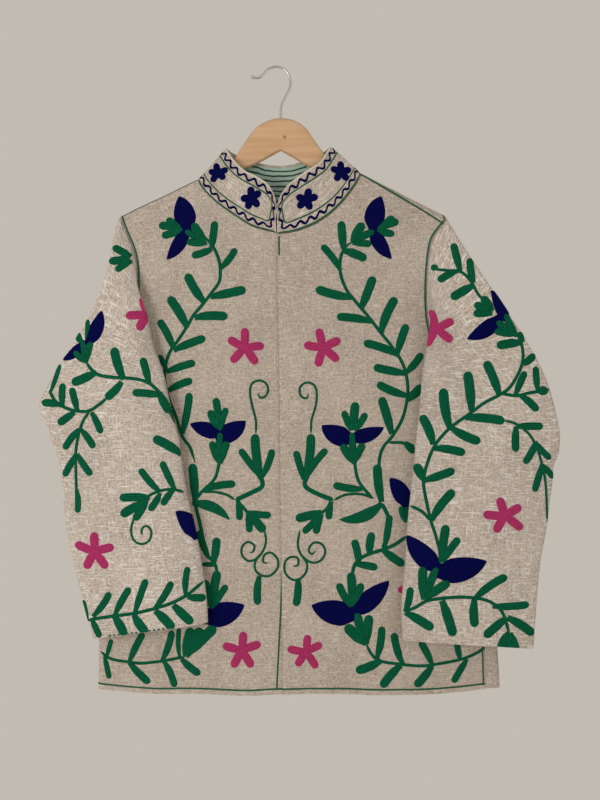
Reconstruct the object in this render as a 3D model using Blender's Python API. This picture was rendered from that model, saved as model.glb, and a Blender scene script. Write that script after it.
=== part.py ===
"""Embroidered cotton jacket hanging on a plain wooden hanger.

The body is a flat tube of cloth: two fronts and a back are cut in pattern sizes
(sideways run and height) and wrapped on that tube, over the hanger's arms and round
the sides. The sleeves grow from the armholes and hang in front of the fronts. The
stand collar rises from the neck edge. Sizes are in millimetres from the hang point,
the inside top of the hook, and become metres when a mesh is made. Front faces -Y.
"""

import math

import bmesh
import bpy
import numpy as np

MM = 0.001

CLOTH = 1.8
LINING = 1.0
SEAM = 0.3
LINING_GAP = 0.4
SIDE_ROLL = 8.0
RIDGE_ROLL = 7.4
HANGER_THICK = 11.4
WIRE = 3.3
LAP_STEP = 1.7
SLEEVE_CLEAR = 2.8
SLEEVE_HEAD = 14.0

FRONT = -1.0
BACK = 1.0
LEFT = -1.0
RIGHT = 1.0


# Small tables with named columns

def table(columns, rows):
    names = columns.split()
    return {name: np.array([row[i] for row in rows], float) for i, name in enumerate(names)}


def smooth(keys, values, at):
    """A smooth curve through the rows, held level past both ends."""
    keys = np.asarray(keys, float)
    values = np.asarray(values, float)
    at = np.clip(np.asarray(at, float), keys[0], keys[-1])
    slope = np.gradient(values, keys)
    i = np.clip(np.searchsorted(keys, at, side="right") - 1, 0, len(keys) - 2)
    step = keys[i + 1] - keys[i]
    t = (at - keys[i]) / step
    rise = t * t * (3 - 2 * t)
    bend = slope[i] * step * t * (1 - t) ** 2 - slope[i + 1] * step * t * t * (1 - t)
    return values[i] * (1 - rise) + values[i + 1] * rise + bend


def ease(t):
    t = np.clip(t, 0.0, 1.0)
    return t * t * (3 - 2 * t)


# The body tube: its two sides, and how far its faces stand from the hanger's plane

BODY = table("drop left right front back", [
    (100, -214, 236, 14, 10.5),
    (200, -219, 241, 17, 11),
    (300, -226, 250, 21, 12),
    (440, -238, 267, 23, 13),
    (600, -243, 290, 24, 13),
    (750, -246, 306, 25, 14),
    (880, -247, 313, 27, 15),
])

# Broad soft folds of the two faces: where, which way they lean, how long, wide and high

BODY_FOLDS = table("face x drop lean length width height", [
    (-1, -150, 820, 8, 120, 26, 2.2),
    (-1, -60, 845, -4, 90, 30, -2.4),
    (-1, 70, 850, 5, 90, 28, 2.0),
    (-1, 170, 845, -6, 110, 30, -2.2),
    (-1, -45, 420, 6, 150, 24, 1.6),
    (-1, 75, 430, -8, 150, 26, 1.6),
    (1, -140, 760, 6, 170, 30, 2.6),
    (1, -20, 800, -3, 150, 34, -2.4),
    (1, 110, 770, -5, 170, 30, 2.6),
    (1, 215, 800, 4, 120, 24, -2.0),
    (1, -90, 400, 20, 120, 26, 1.8),
    (1, 130, 400, -20, 120, 26, 1.8),
])


def sides(z):
    drop = -np.asarray(z, float)
    left = smooth(BODY["drop"], BODY["left"], drop)
    right = smooth(BODY["drop"], BODY["right"], drop)
    return (left + right) / 2, (right - left) / 2 - SIDE_ROLL


def fold_height(folds, face, x, z):
    lift = np.zeros(np.shape(x))
    for i in range(len(folds["face"])):
        if folds["face"][i] != face:
            continue
        down = -z - folds["drop"][i]
        across = x - folds["x"][i] - folds["lean"][i] * down / 100
        near = np.exp(-(across / folds["width"][i]) ** 2 - (down / folds["length"][i]) ** 2)
        lift = lift + folds["height"][i] * near
    return lift


def face_depth(face, x, z):
    mid, flat = sides(z)
    away = np.clip(np.abs(x - mid) / flat, 0, 1)
    column = "front" if face == FRONT else "back"
    deep = smooth(BODY["drop"], BODY[column], -np.asarray(z, float))
    full = 1 - away ** 2.2
    return SIDE_ROLL + (deep - SIDE_ROLL) * full + fold_height(BODY_FOLDS, face, x, z) * full


def ridge(x):
    """The shoulder line over the hanger's arms, falling to both sides."""
    return np.minimum(-159.6 + 0.474 * (x + 110.6), -156.8 - 0.507 * (x - 134.4))


def wrap(face, run, height):
    """Pattern sizes to a place on the body: round the sides and over the shoulders."""
    run = np.asarray(run, float)
    height = np.asarray(height, float)
    mid, flat = sides(height)
    side = np.sign(run - mid)
    past = (np.abs(run - mid) - flat) / SIDE_ROLL
    turn = np.clip(past, 0, math.pi)
    beyond = np.maximum(past - math.pi, 0) * SIDE_ROLL
    rolled = mid + side * (flat + SIDE_ROLL * np.sin(turn) - beyond)
    x = np.where(past > 0, rolled, run)
    y = np.where(past > 0, face * SIDE_ROLL * np.cos(turn), face * face_depth(face, x, height))
    y = np.where(past > math.pi, -face * face_depth(-face, x, height), y)
    shoulder = ridge(x) - RIDGE_ROLL
    over = np.maximum(height - shoulder, 0) / RIDGE_ROLL
    z = np.where(over > 0, shoulder + RIDGE_ROLL * np.sin(over), height)
    return np.stack([x, y * np.cos(over), z], axis=-1)


def wrap_normal(face, run, height):
    """Which way the body's cloth faces, the same for both pieces at a seam."""
    step = 0.4
    across = wrap(face, run + step, height) - wrap(face, run - step, height)
    up = wrap(face, run, height + step) - wrap(face, run, height - step)
    return unit(np.cross(across, up)) * -face


def ridge_height(x, forward):
    """Pattern height of the shoulder seam, moved forward over the ridge."""
    return ridge(x) - RIDGE_ROLL + RIDGE_ROLL * math.pi / 2 - forward


# Pattern curves: centre front edges, neck, shoulders, armholes and side seams

FRONT_EDGE = table("drop under over", [
    (230, 1.0, 2.8),
    (262, 1.2, 3.2),
    (300, 6, 3.6),
    (450, 15, 5.5),
    (600, 15, 7),
    (717, 14, 8.6),
    (801, 13, 9.6),
    (880, 12.5, 10.2),
])

NECK_FRONT_LEFT = [(1.0, -234), (-31, -226), (-50, -215), (-80, -194), (-97, -178), (-105, -168)]
NECK_FRONT_RIGHT = [(2.8, -235), (27, -232), (56, -221), (80, -204), (98, -185), (110, -169),
                    (115.5, -160)]
NECK_BACK = [(-100, -164), (-85, -172), (-50, -184), (5, -190), (60, -182), (95, -167),
             (112, -157)]
NECK_POINT = {LEFT: -110.6, RIGHT: 120.4}
SHOULDER_POINT = {LEFT: -217.0, RIGHT: 237.0}
SEAM_FORWARD = {LEFT: (0.5, 0.5), RIGHT: (5.0, 10.5)}

ARMHOLE = {
    (LEFT, FRONT): [(-208.6, -229.6), (-198.8, -252), (-193.2, -276), (-192, -310),
                    (-195, -342), (-203, -375), (-214, -402), (-228, -420)],
    (LEFT, BACK): [(-210, -232), (-205, -256), (-202, -284), (-201, -316),
                   (-203, -346), (-208, -376), (-216, -402), (-229, -420)],
    (RIGHT, FRONT): [(222, -234), (215.4, -250), (211.4, -280), (210, -312),
                     (211, -346), (217, -378), (230, -408), (248, -429)],
    (RIGHT, BACK): [(231, -234), (226, -256), (222, -284), (220, -316),
                    (221, -346), (226, -378), (236, -408), (251, -429)],
}
UNDERARM = {LEFT: -427.0, RIGHT: -440.0}
SIDE_SEAM = {
    LEFT: table("drop turn", [(427, 12.6), (600, 24), (750, 33), (880, 36)]),
    RIGHT: table("drop turn", [(440, 12.6), (600, 2), (750, -9), (880, -12)]),
}
HEM = table("x drop", [
    (-300, 868),
    (-246, 868),
    (-180, 872),
    (-110, 871),
    (-40, 873.5),
    (10, 871),
    (80, 870),
    (150, 873),
    (230, 872),
    (300, 867),
    (340, 866),
])


def seam_forward(side, x):
    near, far = SEAM_FORWARD[side]
    part = (x - NECK_POINT[side]) / (SHOULDER_POINT[side] - NECK_POINT[side])
    return near + (far - near) * part


def seam_run(side, drop, face):
    """Sideways run of the side seam, as either face counts it."""
    mid, flat = sides(-drop)
    turn = smooth(SIDE_SEAM[side]["drop"], SIDE_SEAM[side]["turn"], drop)
    if face == BACK:
        turn = math.pi * SIDE_ROLL - turn
    return mid + side * (flat + turn)


def spline(points, count):
    """Even steps along a smooth curve through a few points."""
    pts = np.array(points, float)
    ends = np.concatenate([2 * pts[:1] - pts[1:2], pts, 2 * pts[-1:] - pts[-2:-1]])
    fine = []
    for i in range(len(pts) - 1):
        a, b, c, d = ends[i], ends[i + 1], ends[i + 2], ends[i + 3]
        for t in np.arange(0, 1, 1 / 12):
            fine.append(0.5 * (2 * b + (c - a) * t + (2 * a - 5 * b + 4 * c - d) * t ** 2
                               + (3 * b - a - 3 * c + d) * t ** 3))
    fine.append(pts[-1])
    fine = np.array(fine)
    if np.ndim(count) == 0:
        count = np.linspace(0, 1, count + 1)
    run = np.concatenate([[0], np.cumsum(np.linalg.norm(np.diff(fine, axis=0), axis=1))])
    at = np.asarray(count) * run[-1]
    return np.stack([np.interp(at, run, fine[:, k]) for k in range(fine.shape[1])], axis=-1)


def armhole_curve(side, face):
    x = SHOULDER_POINT[side]
    forward = seam_forward(side, x)
    top = (x, ridge_height(x, forward if face == FRONT else -forward))
    low = (float(seam_run(side, -UNDERARM[side], face)), UNDERARM[side])
    return [top] + ARMHOLE[(side, face)] + [low]


def neck_point(side, face):
    x = NECK_POINT[side]
    forward = seam_forward(side, x)
    return (x, ridge_height(x, forward if face == FRONT else -forward))


def shift(curve, amount, turn):
    """Moves a pattern curve sideways, to its right where turn is -1, else its left."""
    step = np.gradient(curve, axis=0)
    step = step / np.linalg.norm(step, axis=1, keepdims=True)
    normal = np.stack([-step[:, 1], step[:, 0]], axis=-1) * turn
    return curve + normal * np.reshape(amount, (-1, 1))


# Rows and columns of the cloth grids, close together where the cloth rolls over

TOP_ROWS = np.array([0, 6, 12, 24, 46, 74, 104, 134, 162, 188, 208, 222, 232, 240]) / 240
SIDE_ROWS = np.linspace(0, 1, 10)
NECK_COLUMNS = np.array([0, 20, 40, 60, 80, 98, 114, 128, 139, 146, 152]) / 152
BACK_NECK_COLUMNS = np.array([0, 7, 14, 22, 44, 70, 97, 126, 156, 186, 212, 234, 242, 249, 256]) / 256
EDGE_COLUMNS = np.array([0, 24, 48, 72, 92, 104, 110, 116, 122, 128, 134]) / 134


def fill_patch(top, bottom, first, last):
    """A grid between four pattern curves that meet at their ends."""
    def share(a, b):
        run_a = np.concatenate([[0], np.cumsum(np.linalg.norm(np.diff(a, axis=0), axis=1))])
        run_b = np.concatenate([[0], np.cumsum(np.linalg.norm(np.diff(b, axis=0), axis=1))])
        return (run_a / run_a[-1] + run_b / run_b[-1]) / 2

    across = share(top, bottom)[None, :, None]
    down = share(first, last)[:, None, None]
    blend = (1 - down) * top[None] + down * bottom[None]
    blend = blend + (1 - across) * first[:, None] + across * last[:, None]
    corner = (1 - down) * ((1 - across) * top[0] + across * top[-1])
    corner = corner + down * ((1 - across) * bottom[0] + across * bottom[-1])
    return blend - corner


def hem_curve(start, stop, spread):
    x = start + (stop - start) * spread
    return np.stack([x, -smooth(HEM["x"], HEM["drop"], x)], axis=-1)


def side_curve(side, face):
    drops = -UNDERARM[side] + (880 + UNDERARM[side]) * SIDE_ROWS
    x = np.array([float(seam_run(side, d, face)) for d in drops])
    hem = smooth(HEM["x"], HEM["drop"], x[-1])
    drops = -UNDERARM[side] + (hem + UNDERARM[side]) * SIDE_ROWS
    x = np.array([float(seam_run(side, d, face)) for d in drops])
    return np.stack([x, -drops], axis=-1)


def edge_inset(pattern, amount):
    """Draws a pattern grid in from its seams, for the gap between sewn pieces."""
    grid = pattern.copy()
    grid[0] += amount * unit(pattern[1] - pattern[0])
    grid[:, 0] += amount * unit(pattern[:, 1] - pattern[:, 0])
    grid[:, -1] += amount * unit(pattern[:, -2] - pattern[:, -1])
    return grid


def unit(v):
    return v / np.maximum(np.linalg.norm(v, axis=-1, keepdims=True), 1e-9)


def front_pattern(side):
    neck = NECK_FRONT_LEFT if side == LEFT else NECK_FRONT_RIGHT
    column = "under" if side == LEFT else "over"
    neck_curve = spline(neck + [neck_point(side, FRONT)], NECK_COLUMNS)
    x = NECK_POINT[side] + (SHOULDER_POINT[side] - NECK_POINT[side]) * EDGE_COLUMNS[1:]
    height = ridge_height(x, seam_forward(side, x))
    top = np.concatenate([neck_curve, np.stack([x, height], axis=-1)])
    arm = spline(armhole_curve(side, FRONT), TOP_ROWS)
    arm[0] = top[-1]
    side_line = side_curve(side, FRONT)
    last = np.concatenate([arm, side_line[1:]])
    upper = -top[0, 1] + 205 * TOP_ROWS
    centre_drop = np.concatenate([upper, upper[-1] + (872 - upper[-1]) * SIDE_ROWS[1:]])
    centre_x = smooth(FRONT_EDGE["drop"], FRONT_EDGE[column], centre_drop)
    first = np.stack([centre_x, -centre_drop], axis=-1)
    spread = np.concatenate([NECK_COLUMNS * 0.42, 0.42 + 0.58 * EDGE_COLUMNS[1:]])
    bottom = hem_curve(first[-1, 0], last[-1, 0], spread)
    first[-1] = bottom[0]
    return edge_inset(fill_patch(top, bottom, first, last), SEAM * 0.6)


def back_pattern():
    ways = []
    for side in (LEFT, RIGHT):
        x = NECK_POINT[side] + (SHOULDER_POINT[side] - NECK_POINT[side]) * EDGE_COLUMNS
        ways.append(np.stack([x, ridge_height(x, -seam_forward(side, x))], axis=-1))
    neck = [neck_point(LEFT, BACK)] + NECK_BACK + [neck_point(RIGHT, BACK)]
    neck_curve = spline(neck, BACK_NECK_COLUMNS)
    top = np.concatenate([ways[0][::-1], neck_curve[1:-1], ways[1]])
    lines = []
    for side in (LEFT, RIGHT):
        arm = spline(armhole_curve(side, BACK), TOP_ROWS)
        lines.append(np.concatenate([arm, side_curve(side, BACK)[1:]]))
    first, last = lines
    first[0] = top[0]
    last[0] = top[-1]
    middle = (first[-1, 0] + last[-1, 0]) / 2
    edges = EDGE_COLUMNS * 0.56
    spread = np.concatenate([0.5 * (0.56 - edges[::-1]), (0.28 + 0.44 * BACK_NECK_COLUMNS)[1:-1],
                             0.72 + 0.5 * edges])
    bottom = hem_curve(first[-1, 0], last[-1, 0], spread)
    return edge_inset(fill_patch(top, bottom, first, last), SEAM * 0.6)


def lap(grid, side):
    """One front edge lies over the other: the left front lifts, the right one sinks."""
    drop = -grid[..., 2]
    near = ease((55 - np.abs(grid[..., 0] - 5)) / 45) * ease((drop - 237) / 22)
    grid = grid.copy()
    grid[..., 1] += (LAP_STEP if side == LEFT else -LAP_STEP) * near
    return grid


# Sleeves: outer edge and inner fold seen from the front, and half of their depth

SLEEVE = {
    LEFT: table("outer_x outer_z inner_x inner_z under_x under_z puff free", [
        (-217, -210, -193, -288, -240, -430, 8, 0.0),
        (-229, -252, -183, -315, -231, -448, 10, 0.45),
        (-236, -300, -174, -345, -229.5, -452, 11, 0.80),
        (-252, -343, -168, -382, -227.6, -457.4, 12, 0.96),
        (-276, -383, -160, -416, -215, -478, 12, 1.0),
        (-305, -430, -149, -455, -185, -497, 13, 1.0),
        (-325, -474, -141, -486, -150, -506, 14, 1.0),
        (-314, -511, -134, -512, -134, -512, 12, 1.0),
        (-298, -549, -130, -542, -130, -542, 12, 1.0),
        (-293, -596, -122, -590, -122, -590, 12, 1.0),
        (-287, -643, -111, -637, -111, -637, 12, 1.0),
        (-277, -694, -102, -686, -102, -686, 11, 1.0),
        (-264, -746, -95, -734, -95, -734, 11, 1.0),
        (-250.6, -794, -93, -770, -93, -770, 11, 1.0),
    ]),
    RIGHT: table("outer_x outer_z inner_x inner_z under_x under_z puff free", [
        (237, -210, 213, -325, 270, -440, 8, 0.0),
        (259, -250, 213, -345, 264.3, -459, 10, 0.45),
        (288, -296, 212, -366, 267.3, -461, 12, 0.80),
        (321, -345, 210, -388, 261.7, -473, 13, 0.97),
        (350, -390, 207, -413, 250, -486, 13, 1.0),
        (373, -437, 203, -444, 230, -497, 14, 1.0),
        (387, -486, 198, -486, 205, -503, 14, 1.0),
        (392, -525, 194, -521, 194, -521, 13, 1.0),
        (386, -563, 191, -553, 191, -553, 12, 1.0),
        (379, -600, 187, -590, 187, -590, 12, 1.0),
        (374, -640, 182, -638, 182, -638, 12, 1.0),
        (365, -690, 179, -691, 179, -691, 12, 1.0),
        (360, -748, 174, -748, 174, -748, 11, 1.0),
        (356, -808, 176, -794, 176, -794, 11, 1.0),
    ]),
}

# Creases of the sleeves: how far along and around, their reach, and how deep they are

SLEEVE_FOLDS = {
    LEFT: table("along around length width lean height", [
        (6.7, 0.02, 0.5, 0.13, 0.0, -5.0),
        (6.2, 0.20, 0.5, 0.16, 1.5, 3.0),
        (7.4, 0.30, 0.5, 0.16, -2.0, -2.6),
        (1.6, 0.12, 1.0, 0.07, 0.0, -2.4),
        (4.4, 0.33, 0.8, 0.10, 2.0, 2.2),
        (9.6, 0.16, 1.2, 0.09, 0.0, 1.8),
        (6.8, 0.75, 0.5, 0.16, 0.0, -3.0),
    ]),
    RIGHT: table("along around length width lean height", [
        (7.9, 0.02, 0.5, 0.12, 0.0, -3.6),
        (6.8, 0.22, 0.5, 0.16, 1.5, 2.6),
        (8.2, 0.30, 0.6, 0.16, -2.0, -2.4),
        (1.8, 0.14, 1.0, 0.07, 0.0, -2.6),
        (4.6, 0.34, 0.9, 0.10, 2.0, 2.2),
        (10.0, 0.18, 1.2, 0.09, 0.0, 1.8),
        (7.4, 0.75, 0.5, 0.16, 0.0, -3.0),
    ]),
}
RINGS = [0, 1, 1.5, 2, 2.5, 3, 3.6, 4.3, 5, 5.6, 6.1, 6.5, 6.9, 7.4, 8, 9, 10.2, 11.6, 13]


def leaving(around):
    """Where round the armhole the sleeve turns straight forward off the body."""
    return ease((around - 0.13) / 0.12) * (1 - ease((around - 0.74) / 0.14))


def armhole_ring(side, marks):
    """The sleeve's first edge: just inside the armhole, front half and then back half."""
    around = np.concatenate([marks[:-1] / 2, 1 - marks[:0:-1] / 2])
    ring = []
    for face in (FRONT, BACK):
        edge = spline(armhole_curve(side, face), marks)
        share = marks / 2 if face == FRONT else 1 - marks / 2
        gap = SEAM + 0.75 + 0.5 * leaving(share)
        run = shift(edge, gap, side)
        points = wrap(face, run[:, 0], run[:, 1])
        ring.append(points[:-1] if face == FRONT else points[:0:-1])
    return around, np.concatenate(ring)


def rest_on_front(x, z):
    """The depth where a sleeve's hidden layer lies just clear of the front."""
    return -(face_depth(FRONT, x, z) + SLEEVE_CLEAR)


def sleeve_section(even, k):
    """Round one ring: front layer out to the fold, then the hidden layer back."""
    head = float(ease((7.0 - k) / 4))
    fold = 0.5 - 0.2 * head
    low = max(0.12 * head, 1e-6)
    front = even <= fold
    gusset = low * np.clip((even - fold) / max(0.5 - fold, 1e-6), 0, 1)
    hidden = np.where(even < 0.5, gusset, low + (1 - low) * (2 * even - 1))
    turn = np.where(front, even / fold, 1 + hidden) * math.pi
    across = np.sign(np.cos(turn)) * np.abs(np.cos(turn)) ** 0.85
    bulge = np.sign(np.sin(turn)) * np.abs(np.sin(turn)) ** 0.75
    sag = np.where(hidden < low, ease(hidden / low), ease((1 - hidden) / (1 - low)))
    return across, bulge, np.where(front, 0, sag), -math.cos(math.pi * low)


def sleeve_wall(side, marks, rings):
    """Grid, facing and thickness of a sleeve, thinner where it bunches at the underarm."""
    grid = sleeve_grid(side, marks, rings)
    facing = normals(grid, True)
    for again in range(2):
        beside = np.roll(facing, 1, axis=1) + np.roll(facing, -1, axis=1)
        above = np.concatenate([facing[:1], facing[:-1]])
        below = np.concatenate([facing[1:], facing[-1:]])
        facing = unit(facing * 2 + beside * 0.5 + above * 0.5 + below * 0.5)
    around = np.arange(grid.shape[1]) / grid.shape[1]
    along = np.array([0] + list(rings))[:, None]
    bunch = np.exp(-((around[None] - 0.5) / 0.2) ** 2) * (1 - ease(along / 7))
    return grid, facing, CLOTH - 0.75 * bunch


def sleeve_grid(side, marks, rings):
    shape = SLEEVE[side]
    keys = np.arange(len(shape["free"]))
    around, start = armhole_ring(side, marks)
    forward = leaving(around)
    even = np.arange(len(around)) / len(around)
    pushed = start.copy()
    pushed[:, 1] -= forward * SLEEVE_HEAD
    pushed[:, 0] += side * 12 * forward * ease((around - 0.44) / 0.12)
    pushed[:, 2] += 2.0 * np.exp(-((around - 0.5) / 0.07) ** 2)
    grid = [start]
    for k in rings:
        row = {name: float(smooth(keys, shape[name], k)) for name in shape}
        across, bulge, sag, low = sleeve_section(even, k)
        mid = np.array([row["outer_x"] + row["inner_x"], row["outer_z"] + row["inner_z"]]) / 2
        half = np.array([row["outer_x"], row["outer_z"]]) - mid
        drop = np.array([row["under_x"], row["under_z"]]) - mid - half * low
        x = mid[0] + half[0] * across + drop[0] * sag
        z = mid[1] + half[1] * across + drop[1] * sag
        y = rest_on_front(x, z) - 0.6 - row["puff"] * (1 + bulge)
        loose = np.stack([x, y, z], axis=-1)
        free = row["free"]
        ring = pushed * (1 - free) + loose * free
        limit = rest_on_front(ring[:, 0], ring[:, 2])
        hold = np.maximum(forward if k > 0 else 0, ease(free * 1.15))
        ring[:, 1] = ring[:, 1] * (1 - hold) + np.minimum(ring[:, 1], limit) * hold
        grid.append(ring)
    grid = np.array(grid)
    folds = SLEEVE_FOLDS[side]
    along = np.array([0] + list(rings))[:, None]
    lift = np.zeros(grid.shape[:2])
    for i in range(len(folds["along"])):
        beside = (even[None] - folds["around"][i] + 0.5) % 1 - 0.5
        down = along - folds["along"][i] - folds["lean"][i] * beside
        near = np.exp(-(down / folds["length"][i]) ** 2 - (beside / folds["width"][i]) ** 2)
        lift = lift + folds["height"][i] * near
    lift = lift * ease((along - 0.2) / 1.2)
    return grid + normals(grid, True) * lift[..., None] * -side


# Collar: where its free edge stands, by the share of the neck run

COLLAR_TOP = table("share x y z", [
    (0.000, 1.0, -21.5, -203),
    (0.016, -0.5, -22, -186),
    (0.036, -7, -22.5, -171),
    (0.075, -22, -22.5, -158),
    (0.130, -41, -21, -148),
    (0.185, -54, -16, -136),
    (0.235, -63, -8, -123),
    (0.270, -68.4, 1, -113.4),
    (0.310, -62, 9, -117),
    (0.380, -38, 13, -127),
    (0.500, 7, 15, -134.5),
    (0.620, 48, 13, -125),
    (0.690, 70, 9, -114.5),
    (0.730, 75.6, 1, -110.6),
    (0.765, 71, -8, -119),
    (0.815, 62, -16, -134),
    (0.870, 47, -21, -145),
    (0.925, 29, -22.5, -158),
    (0.964, 13, -22.5, -173),
    (0.984, 4.6, -22, -188),
    (1.000, 2.9, -21.5, -203),
])
COLLAR_COLUMNS = 44
COLLAR_ROWS = 6


def neck_ring(count, gap):
    """The neck edge in space, from one front edge round the back to the other."""
    left = spline(NECK_FRONT_LEFT + [neck_point(LEFT, FRONT)], 40)
    back = spline([neck_point(LEFT, BACK)] + NECK_BACK + [neck_point(RIGHT, BACK)], 60)
    right = spline([neck_point(RIGHT, FRONT)] + NECK_FRONT_RIGHT[::-1], 40)
    parts = []
    for face, curve, turn in ((FRONT, left, -1), (BACK, back, 1), (FRONT, right, -1)):
        moved = shift(curve, np.full(len(curve), gap), turn)
        parts.append(wrap(face, moved[:, 0], moved[:, 1]))
    line = np.concatenate([parts[0][:-1], parts[1][1:-1], parts[2][1:]])
    run = np.concatenate([[0], np.cumsum(np.linalg.norm(np.diff(line, axis=0), axis=1))])
    at = np.linspace(0, run[-1], count + 1)
    return np.stack([np.interp(at, run, line[:, k]) for k in range(3)], axis=-1)


def collar_grid(count, rows):
    base = neck_ring(count, SEAM + 0.9)
    share = np.linspace(0, 1, count + 1)
    top = np.stack([smooth(COLLAR_TOP["share"], COLLAR_TOP[k], share) for k in "xyz"], axis=-1)
    up = np.linspace(0, 1, rows + 1)[:, None, None]
    grid = base[None] * (1 - up) + top[None] * up
    centre = np.array([5.0, -3.0])
    out = unit(grid[..., :2] - centre)
    puff = 2.2 * np.sin(math.pi * up[..., 0])
    grid[..., :2] += out * puff[..., None]
    return grid


# Turning a grid into a closed wall of cloth

def normals(grid, closed):
    """Unit normals of a grid, from its neighbours along and across."""
    if closed:
        across = np.roll(grid, -1, axis=1) - np.roll(grid, 1, axis=1)
    else:
        across = np.gradient(grid, axis=1)
    along = np.gradient(grid, axis=0)
    return unit(np.cross(along, across))


def cloth_wall(name, grid, thick, closed, material, facing=None):
    """Both faces of the cloth and its cut edges, as one closed mesh."""
    rows, columns = grid.shape[:2]
    if facing is None:
        facing = normals(grid, closed)
    lean = facing * np.asarray(thick)[..., None] / 2
    points = np.concatenate([(grid + lean).reshape(-1, 3), (grid - lean).reshape(-1, 3)])
    layer = rows * columns
    faces = []
    wide = columns if closed else columns - 1
    for i in range(rows - 1):
        for j in range(wide):
            k = (j + 1) % columns
            a, b = i * columns + j, i * columns + k
            c, d = a + columns, b + columns
            faces.append((a, c, d, b))
            faces.append((layer + a, layer + b, layer + d, layer + c))
    for j in range(wide):
        k = (j + 1) % columns
        low = (rows - 1) * columns
        faces.append((j, k, layer + k, layer + j))
        faces.append((low + k, low + j, layer + low + j, layer + low + k))
    if not closed:
        for i in range(rows - 1):
            a, c = i * columns, (i + 1) * columns
            faces.append((c, a, layer + a, layer + c))
            e, f = a + columns - 1, c + columns - 1
            faces.append((e, f, layer + f, layer + e))
    return make_object(name, points, faces, material)


def make_object(name, points, faces, material):
    mesh = bpy.data.meshes.new(name)
    mesh.from_pydata([tuple(float(v) * MM for v in p) for p in points], [], faces)
    work = bmesh.new()
    work.from_mesh(mesh)
    bmesh.ops.recalc_face_normals(work, faces=work.faces)
    work.to_mesh(mesh)
    work.free()
    mesh.shade_smooth()
    mesh.set_sharp_from_angle(angle=math.radians(50))
    mesh.materials.append(material)
    thing = bpy.data.objects.new(name, mesh)
    bpy.context.scene.collection.objects.link(thing)
    return thing


def tube(name, path, radii, around, material):
    """A round bar along a path, closed at both ends."""
    ahead = unit(np.gradient(path, axis=0))
    sideways = np.array([0.0, 1.0, 0.0])
    other = unit(np.cross(ahead, sideways))
    points = []
    for p, r, o in zip(path, radii, other):
        for j in range(around):
            a = 2 * math.pi * j / around
            points.append(p + r * (math.cos(a) * sideways + math.sin(a) * o))
    faces = []
    for i in range(len(path) - 1):
        for j in range(around):
            k = (j + 1) % around
            faces.append((i * around + j, i * around + k, (i + 1) * around + k,
                          (i + 1) * around + j))
    faces.append(tuple(range(around)))
    last = (len(path) - 1) * around
    faces.append(tuple(range(last + around - 1, last - 1, -1)))
    return make_object(name, points, faces, material)


def plain_material(name, colour, rough, metal):
    material = bpy.data.materials.new(name)
    material.use_nodes = True
    shader = material.node_tree.nodes["Principled BSDF"]
    shader.inputs["Base Color"].default_value = (*colour, 1)
    shader.inputs["Roughness"].default_value = rough
    shader.inputs["Metallic"].default_value = metal
    return material


# The hanger: top and underside of its wood across its width

WOOD = table("x top under", [
    (-210, -212, -218.5),
    (-208, -209, -221),
    (-200, -204.2, -218.5),
    (-160, -185.2, -199.5),
    (-112, -162.6, -175.5),
    (-104, -159.2, -171.5),
    (-84, -147, -162),
    (-58.8, -127.4, -150),
    (-45.4, -107, -143.6),
    (-32.2, -88.2, -137.5),
    (-15.4, -75.6, -129),
    (7, -70, -116.4),
    (26, -73.4, -127),
    (42.7, -84.6, -137.5),
    (56, -103.6, -144.5),
    (67.2, -118.3, -150),
    (92, -138, -157),
    (113, -149.8, -163),
    (122, -153, -167.5),
    (175, -179.5, -194.5),
    (220, -202.4, -217.5),
    (227, -207, -219.5),
    (229, -209.8, -217),
])
HOOK = table("x z", [
    (7, -88),
    (7, -70),
    (7.8, -54),
    (13.5, -41),
    (18.8, -31),
    (20.6, -20),
    (17.4, -8),
    (9.5, -0.6),
    (0, 1.65),
    (-9.5, -1.4),
    (-16.6, -8),
    (-21, -12.6),
    (-25.5, -14.2),
    (-30, -13.6),
])
HOOK_HOLE = 2.05


def build_wood(material):
    half = HANGER_THICK / 2
    points = []
    around = 16
    for x, top, under in zip(WOOD["x"], WOOD["top"] - 0.5, WOOD["under"]):
        mid = (top + under) / 2
        tall = (top - under) / 2
        r = min(half, tall)
        thin = half if tall >= half else half * (0.5 + 0.5 * tall / half)
        for j in range(around):
            a = 2 * math.pi * (j + 0.5) / around
            lift = (tall - r) if math.sin(a) > 0 else -(tall - r)
            points.append((x, thin * math.cos(a), mid + lift + r * math.sin(a)))
    faces = []
    rows = len(WOOD["x"])
    for i in range(rows - 1):
        for j in range(around):
            k = (j + 1) % around
            faces.append((i * around + j, i * around + k, (i + 1) * around + k,
                          (i + 1) * around + j))
    faces.append(tuple(range(around)))
    last = (rows - 1) * around
    faces.append(tuple(range(last + around - 1, last - 1, -1)))
    wood = make_object("hanger_body", points, faces, material)
    path = np.array([(7, 0, -89), (7, 0, -60)], float)
    drill = tube("hook_hole_cutter", path, (HOOK_HOLE, HOOK_HOLE), 16, material)
    drill.hide_render = True
    drill.display_type = "WIRE"
    cut = wood.modifiers.new("hook_hole", "BOOLEAN")
    cut.operation = "DIFFERENCE"
    cut.solver = "EXACT"
    cut.object = drill
    return wood


def build_hook(material):
    line = spline(list(zip(HOOK["x"], HOOK["z"])), 40)
    path = np.stack([line[:, 0], np.zeros(len(line)), line[:, 1]], axis=-1)
    radii = [WIRE / 2] * len(path)
    way = unit(path[-1] - path[-2])
    ball = 2.5
    for angle in (140, 110, 80, 50, 20):
        a = math.radians(angle)
        path = np.concatenate([path, [path[40] + way * (ball + ball * math.cos(a))]])
        radii.append(ball * math.sin(a))
    return tube("hanger_hook", path, radii, 10, material)


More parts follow.
